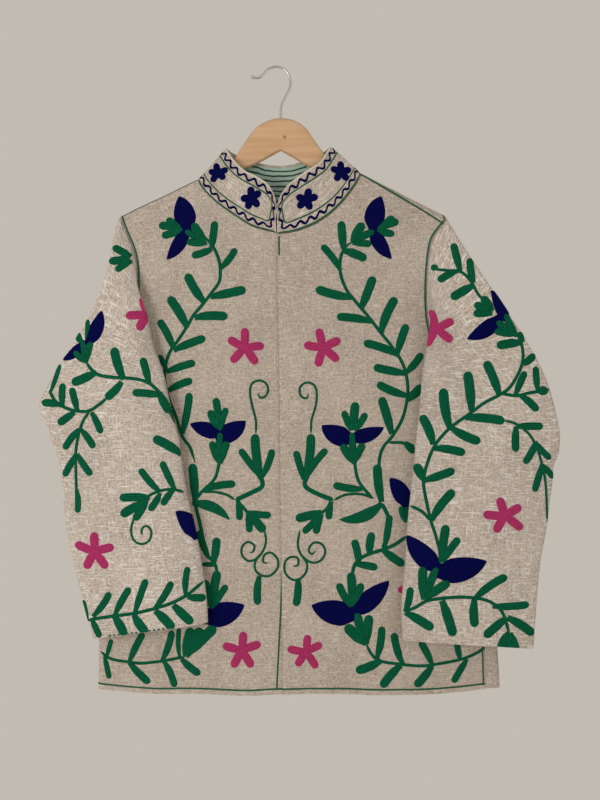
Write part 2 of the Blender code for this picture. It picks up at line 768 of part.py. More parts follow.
def main():
    for old in list(bpy.data.objects):
        bpy.data.objects.remove(old, do_unlink=True)
    cotton = (0.56, 0.50, 0.43)
    mint = (0.38, 0.58, 0.53)
    wood = (0.62, 0.37, 0.19)

    for side, name in ((LEFT, "right_front"), (RIGHT, "left_front")):
        pattern = front_pattern(side)
        grid = lap(wrap(FRONT, pattern[..., 0], pattern[..., 1]), side)
        facing = wrap_normal(FRONT, pattern[..., 0], pattern[..., 1])
        material = plain_material(name + "_cotton", cotton, 0.9, 0)
        cloth_wall(name, grid, CLOTH, False, material, facing)

    pattern = back_pattern()
    back = wrap(BACK, pattern[..., 0], pattern[..., 1])
    behind = wrap_normal(BACK, pattern[..., 0], pattern[..., 1])
    material = plain_material("back_cotton", cotton, 0.9, 0)
    cloth_wall("back", back, CLOTH, False, material, behind)

    for side, name in ((LEFT, "right_sleeve"), (RIGHT, "left_sleeve")):
        grid, facing, thick = sleeve_wall(side, TOP_ROWS, RINGS)
        material = plain_material(name + "_cotton", cotton, 0.9, 0)
        cloth_wall(name, grid, thick, True, material, facing)

    collar = collar_grid(COLLAR_COLUMNS, COLLAR_ROWS)
    cloth_wall("collar", collar, CLOTH, False, plain_material("collar_cotton", cotton, 0.9, 0))
    inward = (CLOTH + LINING) / 2 + LINING_GAP
    trim = collar[:, 1:-1]
    inner = trim - normals(trim, False) * inward
    low = inner[:1] * 0.75 + inner[1:2] * 0.25
    high = inner[-1:] * 0.85 + inner[-2:-1] * 0.15
    inner = np.concatenate([low, inner[1:-1], high])
    cloth_wall("collar_lining", inner, LINING, False,
               plain_material("collar_stripe", mint, 0.85, 0))

    start = len(EDGE_COLUMNS) - 1
    yoke = (slice(0, 9), slice(start + 3, start + len(BACK_NECK_COLUMNS) - 3))
    yoke_grid = back[yoke] - behind[yoke] * inward
    material = plain_material("back_stripe", mint, 0.85, 0)
    cloth_wall("back_lining", yoke_grid, LINING, False, material, behind[yoke])

    build_wood(plain_material("hanger_wood", wood, 0.45, 0))
    build_hook(plain_material("hook_chrome", (0.8, 0.8, 0.82), 0.2, 1))


main()
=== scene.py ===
# %% [markdown]
# # Embroidered cotton jacket on a wooden hanger
#
# The jacket is built as its maker sews it: flat pattern pieces of thick handloom cotton are
# wrapped on a flat tube, the sleeves are set into the armholes and hang in front, and a stand
# collar rises from the neck. Vines, leaves and flowers are then laid on the cloth in rows of
# chain stitch. All sizes are in millimetres from the hang point, the inside top of the hook.

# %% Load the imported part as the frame
import math

import bmesh
import bpy
import numpy as np
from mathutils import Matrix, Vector
from mathutils.bvhtree import BVHTree


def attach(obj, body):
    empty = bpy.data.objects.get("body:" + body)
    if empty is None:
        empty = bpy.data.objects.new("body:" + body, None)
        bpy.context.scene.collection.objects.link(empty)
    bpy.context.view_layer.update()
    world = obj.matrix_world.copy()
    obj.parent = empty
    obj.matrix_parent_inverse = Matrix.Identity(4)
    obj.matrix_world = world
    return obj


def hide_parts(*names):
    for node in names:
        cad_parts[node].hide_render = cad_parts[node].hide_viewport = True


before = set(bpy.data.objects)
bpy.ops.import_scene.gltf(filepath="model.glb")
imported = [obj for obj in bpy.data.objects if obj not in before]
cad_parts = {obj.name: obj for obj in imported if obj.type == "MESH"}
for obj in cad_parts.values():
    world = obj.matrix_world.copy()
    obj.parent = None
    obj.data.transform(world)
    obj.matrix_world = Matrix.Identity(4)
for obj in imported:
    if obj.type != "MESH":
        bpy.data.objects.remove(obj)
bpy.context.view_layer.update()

MM = 0.001

# %% [markdown]
# ## Sizes shared by all pieces
#
# The cotton is 1.8 mm thick with its lining. Sewn pieces stop 0.3 mm short of each other, as
# the solids do. The front faces -Y, and LEFT is the side at the viewer's left.

# %% Named sizes
CLOTH = 1.8
LINING = 1.0
SEAM = 0.3
LINING_GAP = 0.4
SIDE_ROLL = 8.0
RIDGE_ROLL = 7.4
HANGER_THICK = 11.4
WIRE = 3.3
LAP_STEP = 1.7
SLEEVE_CLEAR = 2.8
SLEEVE_HEAD = 14.0
FRONT = -1.0
BACK = 1.0
LEFT = -1.0
RIGHT = 1.0


# %% Small tables and smooth curves
def table(columns, rows):
    names = columns.split()
    return {name: np.array([row[i] for row in rows], float) for i, name in enumerate(names)}


def smooth(keys, values, at):
    """A smooth curve through the rows, held level past both ends."""
    keys = np.asarray(keys, float)
    values = np.asarray(values, float)
    at = np.clip(np.asarray(at, float), keys[0], keys[-1])
    slope = np.gradient(values, keys)
    i = np.clip(np.searchsorted(keys, at, side="right") - 1, 0, len(keys) - 2)
    step = keys[i + 1] - keys[i]
    t = (at - keys[i]) / step
    rise = t * t * (3 - 2 * t)
    bend = slope[i] * step * t * (1 - t) ** 2 - slope[i + 1] * step * t * t * (1 - t)
    return values[i] * (1 - rise) + values[i + 1] * rise + bend


def ease(t):
    t = np.clip(t, 0.0, 1.0)
    return t * t * (3 - 2 * t)


def unit(v):
    return v / np.maximum(np.linalg.norm(v, axis=-1, keepdims=True), 1e-9)


def run_along(line):
    """Length along a line up to each of its points."""
    return np.concatenate([[0], np.cumsum(np.linalg.norm(np.diff(line, axis=0), axis=1))])


def places(line, marks, at):
    """Places on a line, where its points have rising marks."""
    return np.stack([np.interp(at, marks, line[:, k]) for k in range(line.shape[1])], axis=-1)


def finer(marks, parts):
    """Divides each step of a list of marks."""
    marks = np.asarray(marks, float)
    return np.interp(np.arange((len(marks) - 1) * parts + 1) / parts, np.arange(len(marks)), marks)


# %% [markdown]
# ## The flat tube of the body
#
# A pattern place is a sideways run and a height. It is wrapped on a tube that is 16 mm deep at
# its sides and up to 40 mm deep in the middle, and rolls over the hanger's arms at the top.

# %% The body tube and how cloth is wrapped on it
BODY = table("drop left right front back", [
    (100, -214, 236, 14, 10.5),
    (200, -219, 241, 17, 11),
    (300, -226, 250, 21, 12),
    (440, -238, 267, 23, 13),
    (600, -243, 290, 24, 13),
    (750, -246, 306, 25, 14),
    (880, -247, 313, 27, 15),
])

# Broad soft folds of the two faces: where, which way they lean, how long, wide and high

BODY_FOLDS = table("face x drop lean length width height", [
    (-1, -150, 820, 8, 120, 26, 2.2),
    (-1, -60, 845, -4, 90, 30, -2.4),
    (-1, 70, 850, 5, 90, 28, 2.0),
    (-1, 170, 845, -6, 110, 30, -2.2),
    (-1, -45, 420, 6, 150, 24, 1.6),
    (-1, 75, 430, -8, 150, 26, 1.6),
    (1, -140, 760, 6, 170, 30, 2.6),
    (1, -20, 800, -3, 150, 34, -2.4),
    (1, 110, 770, -5, 170, 30, 2.6),
    (1, 215, 800, 4, 120, 24, -2.0),
    (1, -90, 400, 20, 120, 26, 1.8),
    (1, 130, 400, -20, 120, 26, 1.8),
])


def sides(z):
    drop = -np.asarray(z, float)
    left = smooth(BODY["drop"], BODY["left"], drop)
    right = smooth(BODY["drop"], BODY["right"], drop)
    return (left + right) / 2, (right - left) / 2 - SIDE_ROLL


def fold_height(folds, face, x, z):
    lift = np.zeros(np.shape(x))
    for i in range(len(folds["face"])):
        if folds["face"][i] != face:
            continue
        down = -z - folds["drop"][i]
        across = x - folds["x"][i] - folds["lean"][i] * down / 100
        near = np.exp(-(across / folds["width"][i]) ** 2 - (down / folds["length"][i]) ** 2)
        lift = lift + folds["height"][i] * near
    return lift


def face_depth(face, x, z):
    mid, flat = sides(z)
    away = np.clip(np.abs(x - mid) / flat, 0, 1)
    column = "front" if face == FRONT else "back"
    deep = smooth(BODY["drop"], BODY[column], -np.asarray(z, float))
    full = 1 - away ** 2.2
    return SIDE_ROLL + (deep - SIDE_ROLL) * full + fold_height(BODY_FOLDS, face, x, z) * full


def ridge(x):
    """The shoulder line over the hanger's arms, falling to both sides."""
    return np.minimum(-159.6 + 0.474 * (x + 110.6), -156.8 - 0.507 * (x - 134.4))


def wrap(face, run, height):
    """Pattern sizes to a place on the body: round the sides and over the shoulders."""
    run = np.asarray(run, float)
    height = np.asarray(height, float)
    mid, flat = sides(height)
    side = np.sign(run - mid)
    past = (np.abs(run - mid) - flat) / SIDE_ROLL
    turn = np.clip(past, 0, math.pi)
    beyond = np.maximum(past - math.pi, 0) * SIDE_ROLL
    rolled = mid + side * (flat + SIDE_ROLL * np.sin(turn) - beyond)
    x = np.where(past > 0, rolled, run)
    y = np.where(past > 0, face * SIDE_ROLL * np.cos(turn), face * face_depth(face, x, height))
    y = np.where(past > math.pi, -face * face_depth(-face, x, height), y)
    shoulder = ridge(x) - RIDGE_ROLL
    over = np.maximum(height - shoulder, 0) / RIDGE_ROLL
    z = np.where(over > 0, shoulder + RIDGE_ROLL * np.sin(over), height)
    return np.stack([x, y * np.cos(over), z], axis=-1)


def wrap_normal(face, run, height):
    """Which way the body's cloth faces, the same for both pieces at a seam."""
    step = 0.4
    across = wrap(face, run + step, height) - wrap(face, run - step, height)
    up = wrap(face, run, height + step) - wrap(face, run, height - step)
    return unit(np.cross(across, up)) * -face


# %% [markdown]
# ## Small creases of the two fronts and the back
#
# The solids carry the broad folds. These are the finer ones, placed where cloth that
# hangs from two shoulders pulls: from the neck points down, beside the opening and at the hem.

# %% Fine creases, in the same columns as the broad folds
CREASES = table("face x drop lean length width height", [
    (-1, -92, 262, 26, 60, 9, 1.1),
    (-1, -128, 300, 20, 70, 11, -0.9),
    (-1, 104, 258, -26, 60, 10, 1.1),
    (-1, 142, 300, -22, 70, 11, -0.9),
    (-1, -40, 560, -6, 90, 12, 0.9),
    (-1, 52, 600, 7, 80, 12, -0.8),
    (-1, -24, 330, 3, 60, 8, 0.8),
    (-1, 30, 345, -3, 70, 8, 0.8),
    (-1, -96, 800, 6, 60, 11, 1.5),
    (-1, -12, 825, -3, 45, 9, -1.1),
    (-1, 34, 820, 4, 55, 10, 1.3),
    (-1, 108, 815, -5, 60, 11, -1.2),
    (-1, -185, 842, 5, 40, 10, 0.8),
    (-1, 205, 845, -5, 40, 10, 0.8),
    (1, -100, 330, 22, 110, 12, 1.4),
    (1, 10, 300, 2, 120, 14, -1.0),
    (1, 120, 330, -22, 110, 12, 1.4),
    (1, -60, 560, 8, 120, 14, 1.2),
    (1, 70, 600, -6, 130, 14, -1.1),
    (1, -170, 640, 10, 120, 13, 1.3),
    (1, 190, 650, -10, 120, 13, 1.3),
    (1, -110, 820, 4, 60, 12, 1.6),
    (1, 60, 830, -3, 60, 12, -1.4),
    (1, 160, 815, 5, 60, 12, 1.4),
])


def rumple(face, run, height):
    """How far the cloth stands off its tube: listed creases and a soft unevenness."""
    soft = 0.28 * np.sin(run * 0.083 + height * 0.019 + face) * np.sin(height * 0.061 - run * 0.02)
    soft = soft + 0.14 * np.sin(run * 0.21 - height * 0.05) * np.sin(height * 0.17 + run * 0.04)
    return fold_height(CREASES, face, run, height) + soft


def body_cloth(face, side=0.0):
    """The middle of the cloth and its outward way, at a pattern place."""
    def place(run, height):
        points = wrap(face, run, height)
        facing = wrap_normal(face, run, height)
        points = points + facing * rumple(face, run, height)[..., None]
        if side:
            near = ease((55 - np.abs(points[..., 0] - 5)) / 45) * ease((-points[..., 2] - 232) / 12)
            points[..., 1] += (LAP_STEP if side == LEFT else -LAP_STEP) * near
        return points, facing
    return place


# %% [markdown]
# ## Pattern curves
#
# The cutting lines of the panels: centre front edges, neck, shoulders, armholes, side seams
# and hem. They are what the solids were cut from.

# %% Cutting lines
def ridge_height(x, forward):
    """Pattern height of the shoulder seam, moved forward over the ridge."""
    return ridge(x) - RIDGE_ROLL + RIDGE_ROLL * math.pi / 2 - forward


# Pattern curves: centre front edges, neck, shoulders, armholes and side seams

FRONT_EDGE = table("drop under over", [
    (230, 1.0, 2.8),
    (262, 1.2, 3.2),
    (300, 6, 3.6),
    (450, 15, 5.5),
    (600, 15, 7),
    (717, 14, 8.6),
    (801, 13, 9.6),
    (880, 12.5, 10.2),
])

NECK_FRONT_LEFT = [(1.0, -234), (-31, -226), (-50, -215), (-80, -194), (-97, -178), (-105, -168)]
NECK_FRONT_RIGHT = [(2.8, -235), (27, -232), (56, -221), (80, -204), (98, -185), (110, -169),
                    (115.5, -160)]
NECK_BACK = [(-100, -164), (-85, -172), (-50, -184), (5, -190), (60, -182), (95, -167),
             (112, -157)]
NECK_POINT = {LEFT: -110.6, RIGHT: 120.4}
SHOULDER_POINT = {LEFT: -217.0, RIGHT: 237.0}
SEAM_FORWARD = {LEFT: (0.5, 0.5), RIGHT: (5.0, 10.5)}

ARMHOLE = {
    (LEFT, FRONT): [(-208.6, -229.6), (-198.8, -252), (-193.2, -276), (-192, -310),
                    (-195, -342), (-203, -375), (-214, -402), (-228, -420)],
    (LEFT, BACK): [(-210, -232), (-205, -256), (-202, -284), (-201, -316),
                   (-203, -346), (-208, -376), (-216, -402), (-229, -420)],
    (RIGHT, FRONT): [(222, -234), (215.4, -250), (211.4, -280), (210, -312),
                     (211, -346), (217, -378), (230, -408), (248, -429)],
    (RIGHT, BACK): [(231, -234), (226, -256), (222, -284), (220, -316),
                    (221, -346), (226, -378), (236, -408), (251, -429)],
}
UNDERARM = {LEFT: -427.0, RIGHT: -440.0}
SIDE_SEAM = {
    LEFT: table("drop turn", [(427, 12.6), (600, 24), (750, 33), (880, 36)]),
    RIGHT: table("drop turn", [(440, 12.6), (600, 2), (750, -9), (880, -12)]),
}
HEM = table("x drop", [
    (-300, 868),
    (-246, 868),
    (-180, 872),
    (-110, 871),
    (-40, 873.5),
    (10, 871),
    (80, 870),
    (150, 873),
    (230, 872),
    (300, 867),
    (340, 866),
])


def seam_forward(side, x):
    near, far = SEAM_FORWARD[side]
    part = (x - NECK_POINT[side]) / (SHOULDER_POINT[side] - NECK_POINT[side])
    return near + (far - near) * part


def seam_run(side, drop, face):
    """Sideways run of the side seam, as either face counts it."""
    mid, flat = sides(-drop)
    turn = smooth(SIDE_SEAM[side]["drop"], SIDE_SEAM[side]["turn"], drop)
    if face == BACK:
        turn = math.pi * SIDE_ROLL - turn
    return mid + side * (flat + turn)


def spline(points, count):
    """Even steps along a smooth curve through a few points."""
    pts = np.array(points, float)
    ends = np.concatenate([2 * pts[:1] - pts[1:2], pts, 2 * pts[-1:] - pts[-2:-1]])
    fine = []
    for i in range(len(pts) - 1):
        a, b, c, d = ends[i], ends[i + 1], ends[i + 2], ends[i + 3]
        for t in np.arange(0, 1, 1 / 12):
            fine.append(0.5 * (2 * b + (c - a) * t + (2 * a - 5 * b + 4 * c - d) * t ** 2
                               + (3 * b - a - 3 * c + d) * t ** 3))
    fine.append(pts[-1])
    fine = np.array(fine)
    if np.ndim(count) == 0:
        count = np.linspace(0, 1, count + 1)
    run = run_along(fine)
    return places(fine, run, np.asarray(count) * run[-1])


def seam_end(side, face, x):
    """Where the shoulder seam ends, at the neck or at the armhole."""
    forward = seam_forward(side, x)
    return (x, ridge_height(x, forward if face == FRONT else -forward))


def armhole_curve(side, face):
    low = (float(seam_run(side, -UNDERARM[side], face)), UNDERARM[side])
    return [seam_end(side, face, SHOULDER_POINT[side])] + ARMHOLE[(side, face)] + [low]


def neck_point(side, face):
    return seam_end(side, face, NECK_POINT[side])


def shift(curve, amount, turn):
    """Moves a pattern curve sideways, to its right where turn is -1, else its left."""
    step = np.gradient(curve, axis=0)
    step = step / np.linalg.norm(step, axis=1, keepdims=True)
    normal = np.stack([-step[:, 1], step[:, 0]], axis=-1) * turn
    return curve + normal * np.reshape(amount, (-1, 1))


# %% Rows and columns of the cloth, finer than the solids'
TOP_ROWS = finer(np.array([0, 6, 12, 24, 46, 74, 104, 134, 162, 188, 208, 222, 232, 240]) / 240, 3)
SIDE_ROWS = finer(np.linspace(0, 1, 10), 8)
NECK_COLUMNS = finer(np.array([0, 20, 40, 60, 80, 98, 114, 128, 139, 146, 152]) / 152, 3)
BACK_NECK_COLUMNS = finer(np.array([0, 7, 14, 22, 44, 70, 97, 126, 156, 186, 212, 234, 242, 249,
                                    256]) / 256, 3)
EDGE_COLUMNS = finer(np.array([0, 24, 48, 72, 92, 104, 110, 116, 122, 128, 134]) / 134, 3)


# %% Panels as grids between their cutting lines
def fill_patch(top, bottom, first, last):
    """A grid between four pattern curves that meet at their ends."""
    def share(a, b):
        runs = run_along(a), run_along(b)
        return sum(run / run[-1] for run in runs) / 2

    across = share(top, bottom)[None, :, None]
    down = share(first, last)[:, None, None]
    blend = (1 - down) * top[None] + down * bottom[None]
    blend = blend + (1 - across) * first[:, None] + across * last[:, None]
    corner = (1 - down) * ((1 - across) * top[0] + across * top[-1])
    corner = corner + down * ((1 - across) * bottom[0] + across * bottom[-1])
    return blend - corner


def hem_curve(start, stop, spread):
    x = start + (stop - start) * spread
    return np.stack([x, -smooth(HEM["x"], HEM["drop"], x)], axis=-1)


def side_curve(side, face):
    hem = smooth(HEM["x"], HEM["drop"], float(seam_run(side, 880, face)))
    drops = -UNDERARM[side] + (hem + UNDERARM[side]) * SIDE_ROWS
    x = np.array([float(seam_run(side, d, face)) for d in drops])
    return np.stack([x, -drops], axis=-1)


def edge_inset(pattern, amount):
    """Draws a pattern grid in from its seams, for the gap between sewn pieces."""
    grid = pattern.copy()
    grid[0] += amount * unit(pattern[1] - pattern[0])
    grid[:, 0] += amount * unit(pattern[:, 1] - pattern[:, 0])
    grid[:, -1] += amount * unit(pattern[:, -2] - pattern[:, -1])
    return grid


def front_pattern(side):
    neck = NECK_FRONT_LEFT if side == LEFT else NECK_FRONT_RIGHT
    column = "under" if side == LEFT else "over"
    neck_curve = spline(neck + [neck_point(side, FRONT)], NECK_COLUMNS)
    x = NECK_POINT[side] + (SHOULDER_POINT[side] - NECK_POINT[side]) * EDGE_COLUMNS[1:]
    height = ridge_height(x, seam_forward(side, x))
    top = np.concatenate([neck_curve, np.stack([x, height], axis=-1)])
    arm = spline(armhole_curve(side, FRONT), TOP_ROWS)
    arm[0] = top[-1]
    side_line = side_curve(side, FRONT)
    last = np.concatenate([arm, side_line[1:]])
    upper = -top[0, 1] + 205 * TOP_ROWS
    centre_drop = np.concatenate([upper, upper[-1] + (872 - upper[-1]) * SIDE_ROWS[1:]])
    centre_x = smooth(FRONT_EDGE["drop"], FRONT_EDGE[column], centre_drop)
    first = np.stack([centre_x, -centre_drop], axis=-1)
    spread = np.concatenate([NECK_COLUMNS * 0.42, 0.42 + 0.58 * EDGE_COLUMNS[1:]])
    bottom = hem_curve(first[-1, 0], last[-1, 0], spread)
    first[-1] = bottom[0]
    return edge_inset(fill_patch(top, bottom, first, last), SEAM * 0.6)


def back_pattern():
    ways = []
    for side in (LEFT, RIGHT):
        x = NECK_POINT[side] + (SHOULDER_POINT[side] - NECK_POINT[side]) * EDGE_COLUMNS
        ways.append(np.stack([x, ridge_height(x, -seam_forward(side, x))], axis=-1))
    neck = [neck_point(LEFT, BACK)] + NECK_BACK + [neck_point(RIGHT, BACK)]
    neck_curve = spline(neck, BACK_NECK_COLUMNS)
    top = np.concatenate([ways[0][::-1], neck_curve[1:-1], ways[1]])
    lines = []
    for side in (LEFT, RIGHT):
        arm = spline(armhole_curve(side, BACK), TOP_ROWS)
        lines.append(np.concatenate([arm, side_curve(side, BACK)[1:]]))
    first, last = lines
    first[0] = top[0]
    last[0] = top[-1]
    edges = EDGE_COLUMNS * 0.56
    spread = np.concatenate([0.5 * (0.56 - edges[::-1]), (0.28 + 0.44 * BACK_NECK_COLUMNS)[1:-1],
                             0.72 + 0.5 * edges])
    bottom = hem_curve(first[-1, 0], last[-1, 0], spread)
    return edge_inset(fill_patch(top, bottom, first, last), SEAM * 0.6)


# %% [markdown]
# ## Sleeves
#
# Each sleeve starts in its armhole, steps forward and lies flat on the front: a front layer
# out to the fold at the arm's outside, and a hidden layer back. Its own creases are deeper
# than the body's, at the elbow, below the sleeve head and above the cuff.

# %% Sleeve sections and creases
SLEEVE = {
    LEFT: table("outer_x outer_z inner_x inner_z under_x under_z puff free", [
        (-217, -210, -193, -288, -240, -430, 8, 0.0),
        (-229, -252, -183, -315, -231, -448, 10, 0.45),
        (-236, -300, -174, -345, -229.5, -452, 11, 0.80),
        (-252, -343, -168, -382, -227.6, -457.4, 12, 0.96),
        (-276, -383, -160, -416, -215, -478, 12, 1.0),
        (-305, -430, -149, -455, -185, -497, 13, 1.0),
        (-325, -474, -141, -486, -150, -506, 14, 1.0),
        (-314, -511, -134, -512, -134, -512, 12, 1.0),
        (-298, -549, -130, -542, -130, -542, 12, 1.0),
        (-293, -596, -122, -590, -122, -590, 12, 1.0),
        (-287, -643, -111, -637, -111, -637, 12, 1.0),
        (-277, -694, -102, -686, -102, -686, 11, 1.0),
        (-264, -746, -95, -734, -95, -734, 11, 1.0),
        (-250.6, -794, -93, -770, -93, -770, 11, 1.0),
    ]),
    RIGHT: table("outer_x outer_z inner_x inner_z under_x under_z puff free", [
        (237, -210, 213, -325, 270, -440, 8, 0.0),
        (259, -250, 213, -345, 264.3, -459, 10, 0.45),
        (288, -296, 212, -366, 267.3, -461, 12, 0.80),
        (321, -345, 210, -388, 261.7, -473, 13, 0.97),
        (350, -390, 207, -413, 250, -486, 13, 1.0),
        (373, -437, 203, -444, 230, -497, 14, 1.0),
        (387, -486, 198, -486, 205, -503, 14, 1.0),
        (392, -525, 194, -521, 194, -521, 13, 1.0),
        (386, -563, 191, -553, 191, -553, 12, 1.0),
        (379, -600, 187, -590, 187, -590, 12, 1.0),
        (374, -640, 182, -638, 182, -638, 12, 1.0),
        (365, -690, 179, -691, 179, -691, 12, 1.0),
        (360, -748, 174, -748, 174, -748, 11, 1.0),
        (356, -808, 176, -794, 176, -794, 11, 1.0),
    ]),
}

# Creases of the sleeves: how far along and around, their reach, and how deep they are; the
# first seven are the solids' broad ones, and the rest are finer
SLEEVE_FOLDS = {
    LEFT: table("along around length width lean height", [
        (6.7, 0.02, 0.5, 0.13, 0.0, -5.0),
        (6.2, 0.20, 0.5, 0.16, 1.5, 3.0),
        (7.4, 0.30, 0.5, 0.16, -2.0, -2.6),
        (1.6, 0.12, 1.0, 0.07, 0.0, -2.4),
        (4.4, 0.33, 0.8, 0.10, 2.0, 2.2),
        (9.6, 0.16, 1.2, 0.09, 0.0, 1.8),
        (6.8, 0.75, 0.5, 0.16, 0.0, -3.0),

        (2.6, 0.16, 0.7, 0.05, 2.5, 1.5),
        (3.4, 0.27, 0.6, 0.05, -3.0, -1.4),
        (4.2, 0.10, 0.5, 0.05, 2.0, 1.4),
        (5.6, 0.12, 0.22, 0.10, 1.5, -1.8),
        (6.5, 0.10, 0.20, 0.12, -1.0, 1.6),
        (7.1, 0.14, 0.18, 0.10, 1.4, -1.5),
        (6.0, 0.36, 0.25, 0.08, -2.0, 1.5),
        (8.4, 0.28, 0.7, 0.05, 2.0, 1.3),
        (9.4, 0.10, 0.8, 0.05, -1.0, -1.2),
        (10.8, 0.24, 0.9, 0.05, 1.0, 1.4),
        (11.9, 0.12, 0.7, 0.05, -0.6, 1.2),
        (12.3, 0.36, 0.6, 0.05, 0.6, -1.2),
    ]),
    RIGHT: table("along around length width lean height", [
        (7.9, 0.02, 0.5, 0.12, 0.0, -3.6),
        (6.8, 0.22, 0.5, 0.16, 1.5, 2.6),
        (8.2, 0.30, 0.6, 0.16, -2.0, -2.4),
        (1.8, 0.14, 1.0, 0.07, 0.0, -2.6),
        (4.6, 0.34, 0.9, 0.10, 2.0, 2.2),
        (10.0, 0.18, 1.2, 0.09, 0.0, 1.8),
        (7.4, 0.75, 0.5, 0.16, 0.0, -3.0),

        (2.4, 0.20, 0.7, 0.05, 2.5, 1.5),
        (3.6, 0.12, 0.6, 0.05, -3.0, -1.5),
        (4.9, 0.24, 0.5, 0.05, 2.0, 1.5),
        (6.2, 0.30, 0.22, 0.10, 1.5, -1.8),
        (7.3, 0.12, 0.20, 0.12, -1.0, 1.7),
        (7.9, 0.18, 0.18, 0.10, 1.4, -1.5),
        (8.6, 0.34, 0.25, 0.08, -2.0, 1.4),
        (9.4, 0.16, 0.7, 0.05, 2.0, 1.3),
        (10.4, 0.30, 0.8, 0.05, -1.0, -1.2),
        (11.2, 0.12, 0.9, 0.05, 1.0, 1.4),
        (12.2, 0.24, 0.7, 0.05, -0.6, 1.3),
        (12.5, 0.38, 0.6, 0.05, 0.6, -1.1),
    ]),
}
RINGS = finer([0, 1, 1.5, 2, 2.5, 3, 3.6, 4.3, 5, 5.6, 6.1, 6.5, 6.9, 7.4, 8, 9, 10.2, 11.6, 13],
              4)[1:]

# %% From the armhole to the cuff
def leaving(around):
    """Where round the armhole the sleeve turns straight forward off the body."""
    return ease((around - 0.13) / 0.12) * (1 - ease((around - 0.74) / 0.14))


def armhole_ring(side, marks):
    """The sleeve's first edge: just inside the armhole, front half and then back half."""
    around = np.concatenate([marks[:-1] / 2, 1 - marks[:0:-1] / 2])
    ring = []
    for face in (FRONT, BACK):
        edge = spline(armhole_curve(side, face), marks)
        share = marks / 2 if face == FRONT else 1 - marks / 2
        gap = SEAM + 0.75 + 0.5 * leaving(share)
        run = shift(edge, gap, side)
        points = wrap(face, run[:, 0], run[:, 1])
        ring.append(points[:-1] if face == FRONT else points[:0:-1])
    return around, np.concatenate(ring)


def rest_on_front(x, z):
    """The depth where a sleeve's hidden layer lies just clear of the front."""
    return -(face_depth(FRONT, x, z) + SLEEVE_CLEAR)


def sleeve_section(even, k):
    """Round one ring: front layer out to the fold, then the hidden layer back."""
    head = float(ease((7.0 - k) / 4))
    fold = 0.5 - 0.2 * head
    low = max(0.12 * head, 1e-6)
    front = even <= fold
    gusset = low * np.clip((even - fold) / max(0.5 - fold, 1e-6), 0, 1)
    hidden = np.where(even < 0.5, gusset, low + (1 - low) * (2 * even - 1))
    turn = np.where(front, even / fold, 1 + hidden) * math.pi
    across = np.sign(np.cos(turn)) * np.abs(np.cos(turn)) ** 0.85
    bulge = np.sign(np.sin(turn)) * np.abs(np.sin(turn)) ** 0.75
    sag = np.where(hidden < low, ease(hidden / low), ease((1 - hidden) / (1 - low)))
    return across, bulge, np.where(front, 0, sag), -math.cos(math.pi * low)


def sleeve_grid(side, marks, rings):
    """Rings of points from the armhole down; the folds lift them off their flat lie."""
    shape = SLEEVE[side]
    keys = np.arange(len(shape["free"]))
    around, start = armhole_ring(side, marks)
    forward = leaving(around)
    even = np.arange(len(around)) / len(around)
    pushed = start.copy()
    pushed[:, 1] -= forward * SLEEVE_HEAD
    pushed[:, 0] += side * 12 * forward * ease((around - 0.44) / 0.12)
    pushed[:, 2] += 2.0 * np.exp(-((around - 0.5) / 0.07) ** 2)
    grid = [start]
    for k in rings:
        row = {name: float(smooth(keys, shape[name], k)) for name in shape}
        across, bulge, sag, low = sleeve_section(even, k)
        mid = np.array([row["outer_x"] + row["inner_x"], row["outer_z"] + row["inner_z"]]) / 2
        half = np.array([row["outer_x"], row["outer_z"]]) - mid
        drop = np.array([row["under_x"], row["under_z"]]) - mid - half * low
        x = mid[0] + half[0] * across + drop[0] * sag
        z = mid[1] + half[1] * across + drop[1] * sag
        y = rest_on_front(x, z) - 0.6 - row["puff"] * (1 + bulge)
        loose = np.stack([x, y, z], axis=-1)
        free = row["free"]
        ring = pushed * (1 - free) + loose * free
        limit = rest_on_front(ring[:, 0], ring[:, 2])
        hold = np.maximum(forward * ease(k / 0.75), ease(free * 1.15))
        ring[:, 1] = ring[:, 1] * (1 - hold) + np.minimum(ring[:, 1], limit) * hold
        grid.append(ring)
    grid = np.array(grid)
    along = np.array([0] + list(rings))[:, None]
    lift = np.zeros(grid.shape[:2])
    folds = SLEEVE_FOLDS[side]
    for i in range(len(folds["along"])):
        beside = (even[None] - folds["around"][i] + 0.5) % 1 - 0.5
        down = along - folds["along"][i] - folds["lean"][i] * beside
        near = np.exp(-(down / folds["length"][i]) ** 2 - (beside / folds["width"][i]) ** 2)
        lift = lift + folds["height"][i] * near
    lift = lift * ease((along - 0.2) / 1.2)
    return grid + normals(grid, True) * lift[..., None] * -side


# %% [markdown]
# ## Stand collar and hanger
#
# The collar's foot is the neck edge, and a table says where its free edge stands.

# %% Collar
COLLAR_TOP = table("share x y z", [
    (0.000, 1.0, -21.5, -203),
    (0.016, -0.5, -22, -186),
    (0.036, -7, -22.5, -171),
    (0.075, -22, -22.5, -158),
    (0.130, -41, -21, -148),
    (0.185, -54, -16, -136),
    (0.235, -63, -8, -123),
    (0.270, -68.4, 1, -113.4),
    (0.310, -62, 9, -117),
    (0.380, -38, 13, -127),
    (0.500, 7, 15, -134.5),
    (0.620, 48, 13, -125),
    (0.690, 70, 9, -114.5),
    (0.730, 75.6, 1, -110.6),
    (0.765, 71, -8, -119),
    (0.815, 62, -16, -134),
    (0.870, 47, -21, -145),
    (0.925, 29, -22.5, -158),
    (0.964, 13, -22.5, -173),
    (0.984, 4.6, -22, -188),
    (1.000, 2.9, -21.5, -203),
])


